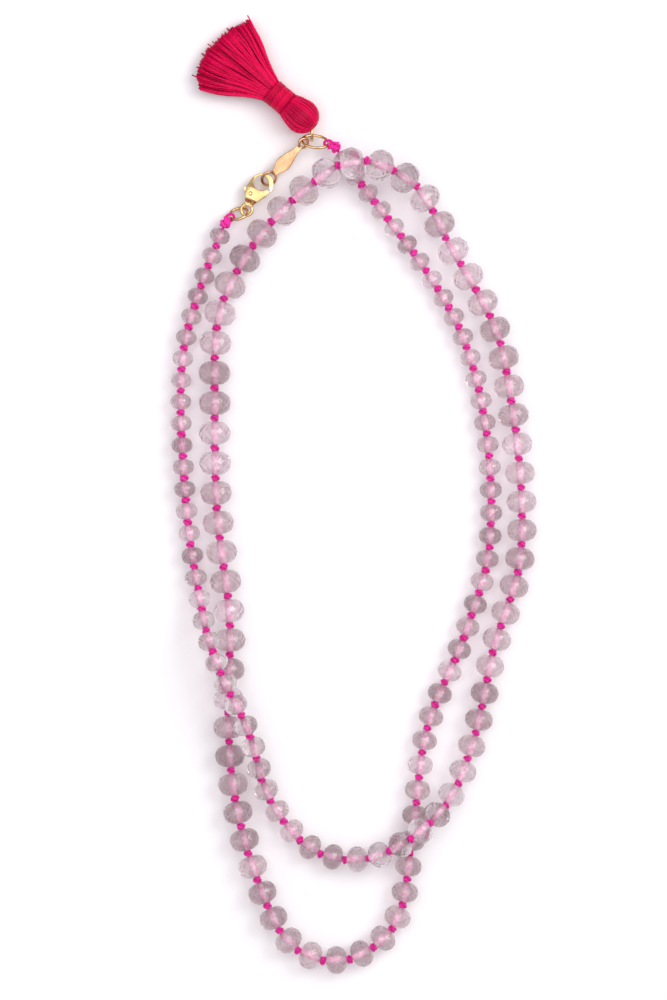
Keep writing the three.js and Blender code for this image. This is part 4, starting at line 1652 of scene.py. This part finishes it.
@dataclass
class Studio:
    """A white table under soft light, seen from straight above."""

    table: float = 3.0
    distance: float = 1500.0
    framed_height: float = 270.0
    centre: tuple[float, float] = (-5.67, -0.4)
    softboxes: tuple[Softbox, ...] = (
        Softbox("key_softbox", (0.55, 0.30, 0.75), 0.55, 4.8, (1.0, 0.985, 0.97)),
        Softbox("overhead_softbox", (-0.1, 0.1, 1.1), 0.9, 4.5, (1.0, 1.0, 1.0)),
        Softbox("fill_softbox", (-0.8, -0.4, 0.6), 0.6, 1.0, (0.97, 0.94, 1.0)),
    )

    def camera(self) -> None:
        """Sets up the camera over the framed part of the table."""
        data = bpy.data.cameras.new("camera")
        data.sensor_width = 36.0
        data.lens = data.sensor_width * self.distance / self.framed_height
        data.clip_start, data.clip_end = 0.05, 20.0
        camera = bpy.data.objects.new("camera", data)
        over = TO_ROW @ Vector((*self.centre, self.distance))
        camera.location = over
        bpy.context.scene.collection.objects.link(camera)
        bpy.context.scene.camera = camera

    def build(self) -> None:
        """Lays the table and lights it."""
        bm = bmesh.new()
        bmesh.ops.create_grid(bm, x_segments=8, y_segments=8, size=self.table / 2)
        bmesh.ops.translate(bm, verts=bm.verts, vec=(0, 0, -0.0004))
        mesh = bpy.data.meshes.new("table")
        bm.to_mesh(mesh)
        bm.free()
        material, tree, shader = start_material("white_table")
        coords = add_node(tree, "ShaderNodeTexCoord")
        noise = add_node(tree, "ShaderNodeTexNoise", Scale=3.0, Detail=3.0)
        tree.links.new(coords.outputs["Object"], noise.inputs["Vector"])
        tint = ramp(tree, [(0.3, (0.93, 0.92, 0.94)), (0.7, (0.96, 0.955, 0.96))])
        tree.links.new(noise.outputs["Fac"], tint.inputs["Fac"])
        tree.links.new(tint.outputs["Color"], shader.inputs["Base Color"])
        shader.inputs["Roughness"].default_value = 0.85
        mesh.materials.append(material)
        table = bpy.data.objects.new("table", mesh)
        bpy.context.scene.collection.objects.link(table)
        world = bpy.data.worlds.new("studio")
        world.use_nodes = True
        tree = world.node_tree
        where = add_node(tree, "ShaderNodeTexCoord")
        parts = add_node(tree, "ShaderNodeSeparateXYZ")
        sky = ramp(tree, [(0.0, (0.10, 0.08, 0.08)), (0.25, (0.22, 0.2, 0.2)), (0.7, (0.95, 0.94, 0.98))])
        tree.links.new(where.outputs["Generated"], parts.inputs[0])
        tree.links.new(parts.outputs["Z"], sky.inputs["Fac"])
        seen = add_node(tree, "ShaderNodeLightPath")
        wall = mixed(tree, "MIX", 1.0)
        wall.inputs["B"].default_value = (0.93, 0.92, 0.95, 1.0)
        tree.links.new(seen.outputs["Is Camera Ray"], wall.inputs["Factor"])
        tree.links.new(sky.outputs["Color"], wall.inputs["A"])
        tree.links.new(wall.outputs["Result"], tree.nodes["Background"].inputs["Color"])
        tree.nodes["Background"].inputs["Strength"].default_value = 0.6
        bpy.context.scene.world = world
        bpy.context.scene.view_settings.view_transform = "Standard"
        for softbox in self.softboxes:
            softbox.build(Vector((0.0, 0.0, 0.0)))


def main() -> None:
    """Builds the mala, piece by piece, and its studio."""
    logging.basicConfig(level=logging.INFO, format="%(name)s: %(message)s")
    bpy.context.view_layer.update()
    studio = Studio()
    studio.camera()
    finishes = Finishes()
    places = FindingPlaces()
    Strand(finishes).build()
    Rings(finishes, places).build()
    Clasp(finishes, places).build()
    Connector(finishes, places).build()
    Tassel(finishes).build()
    studio.build()


if __name__ == "__main__":
    main()
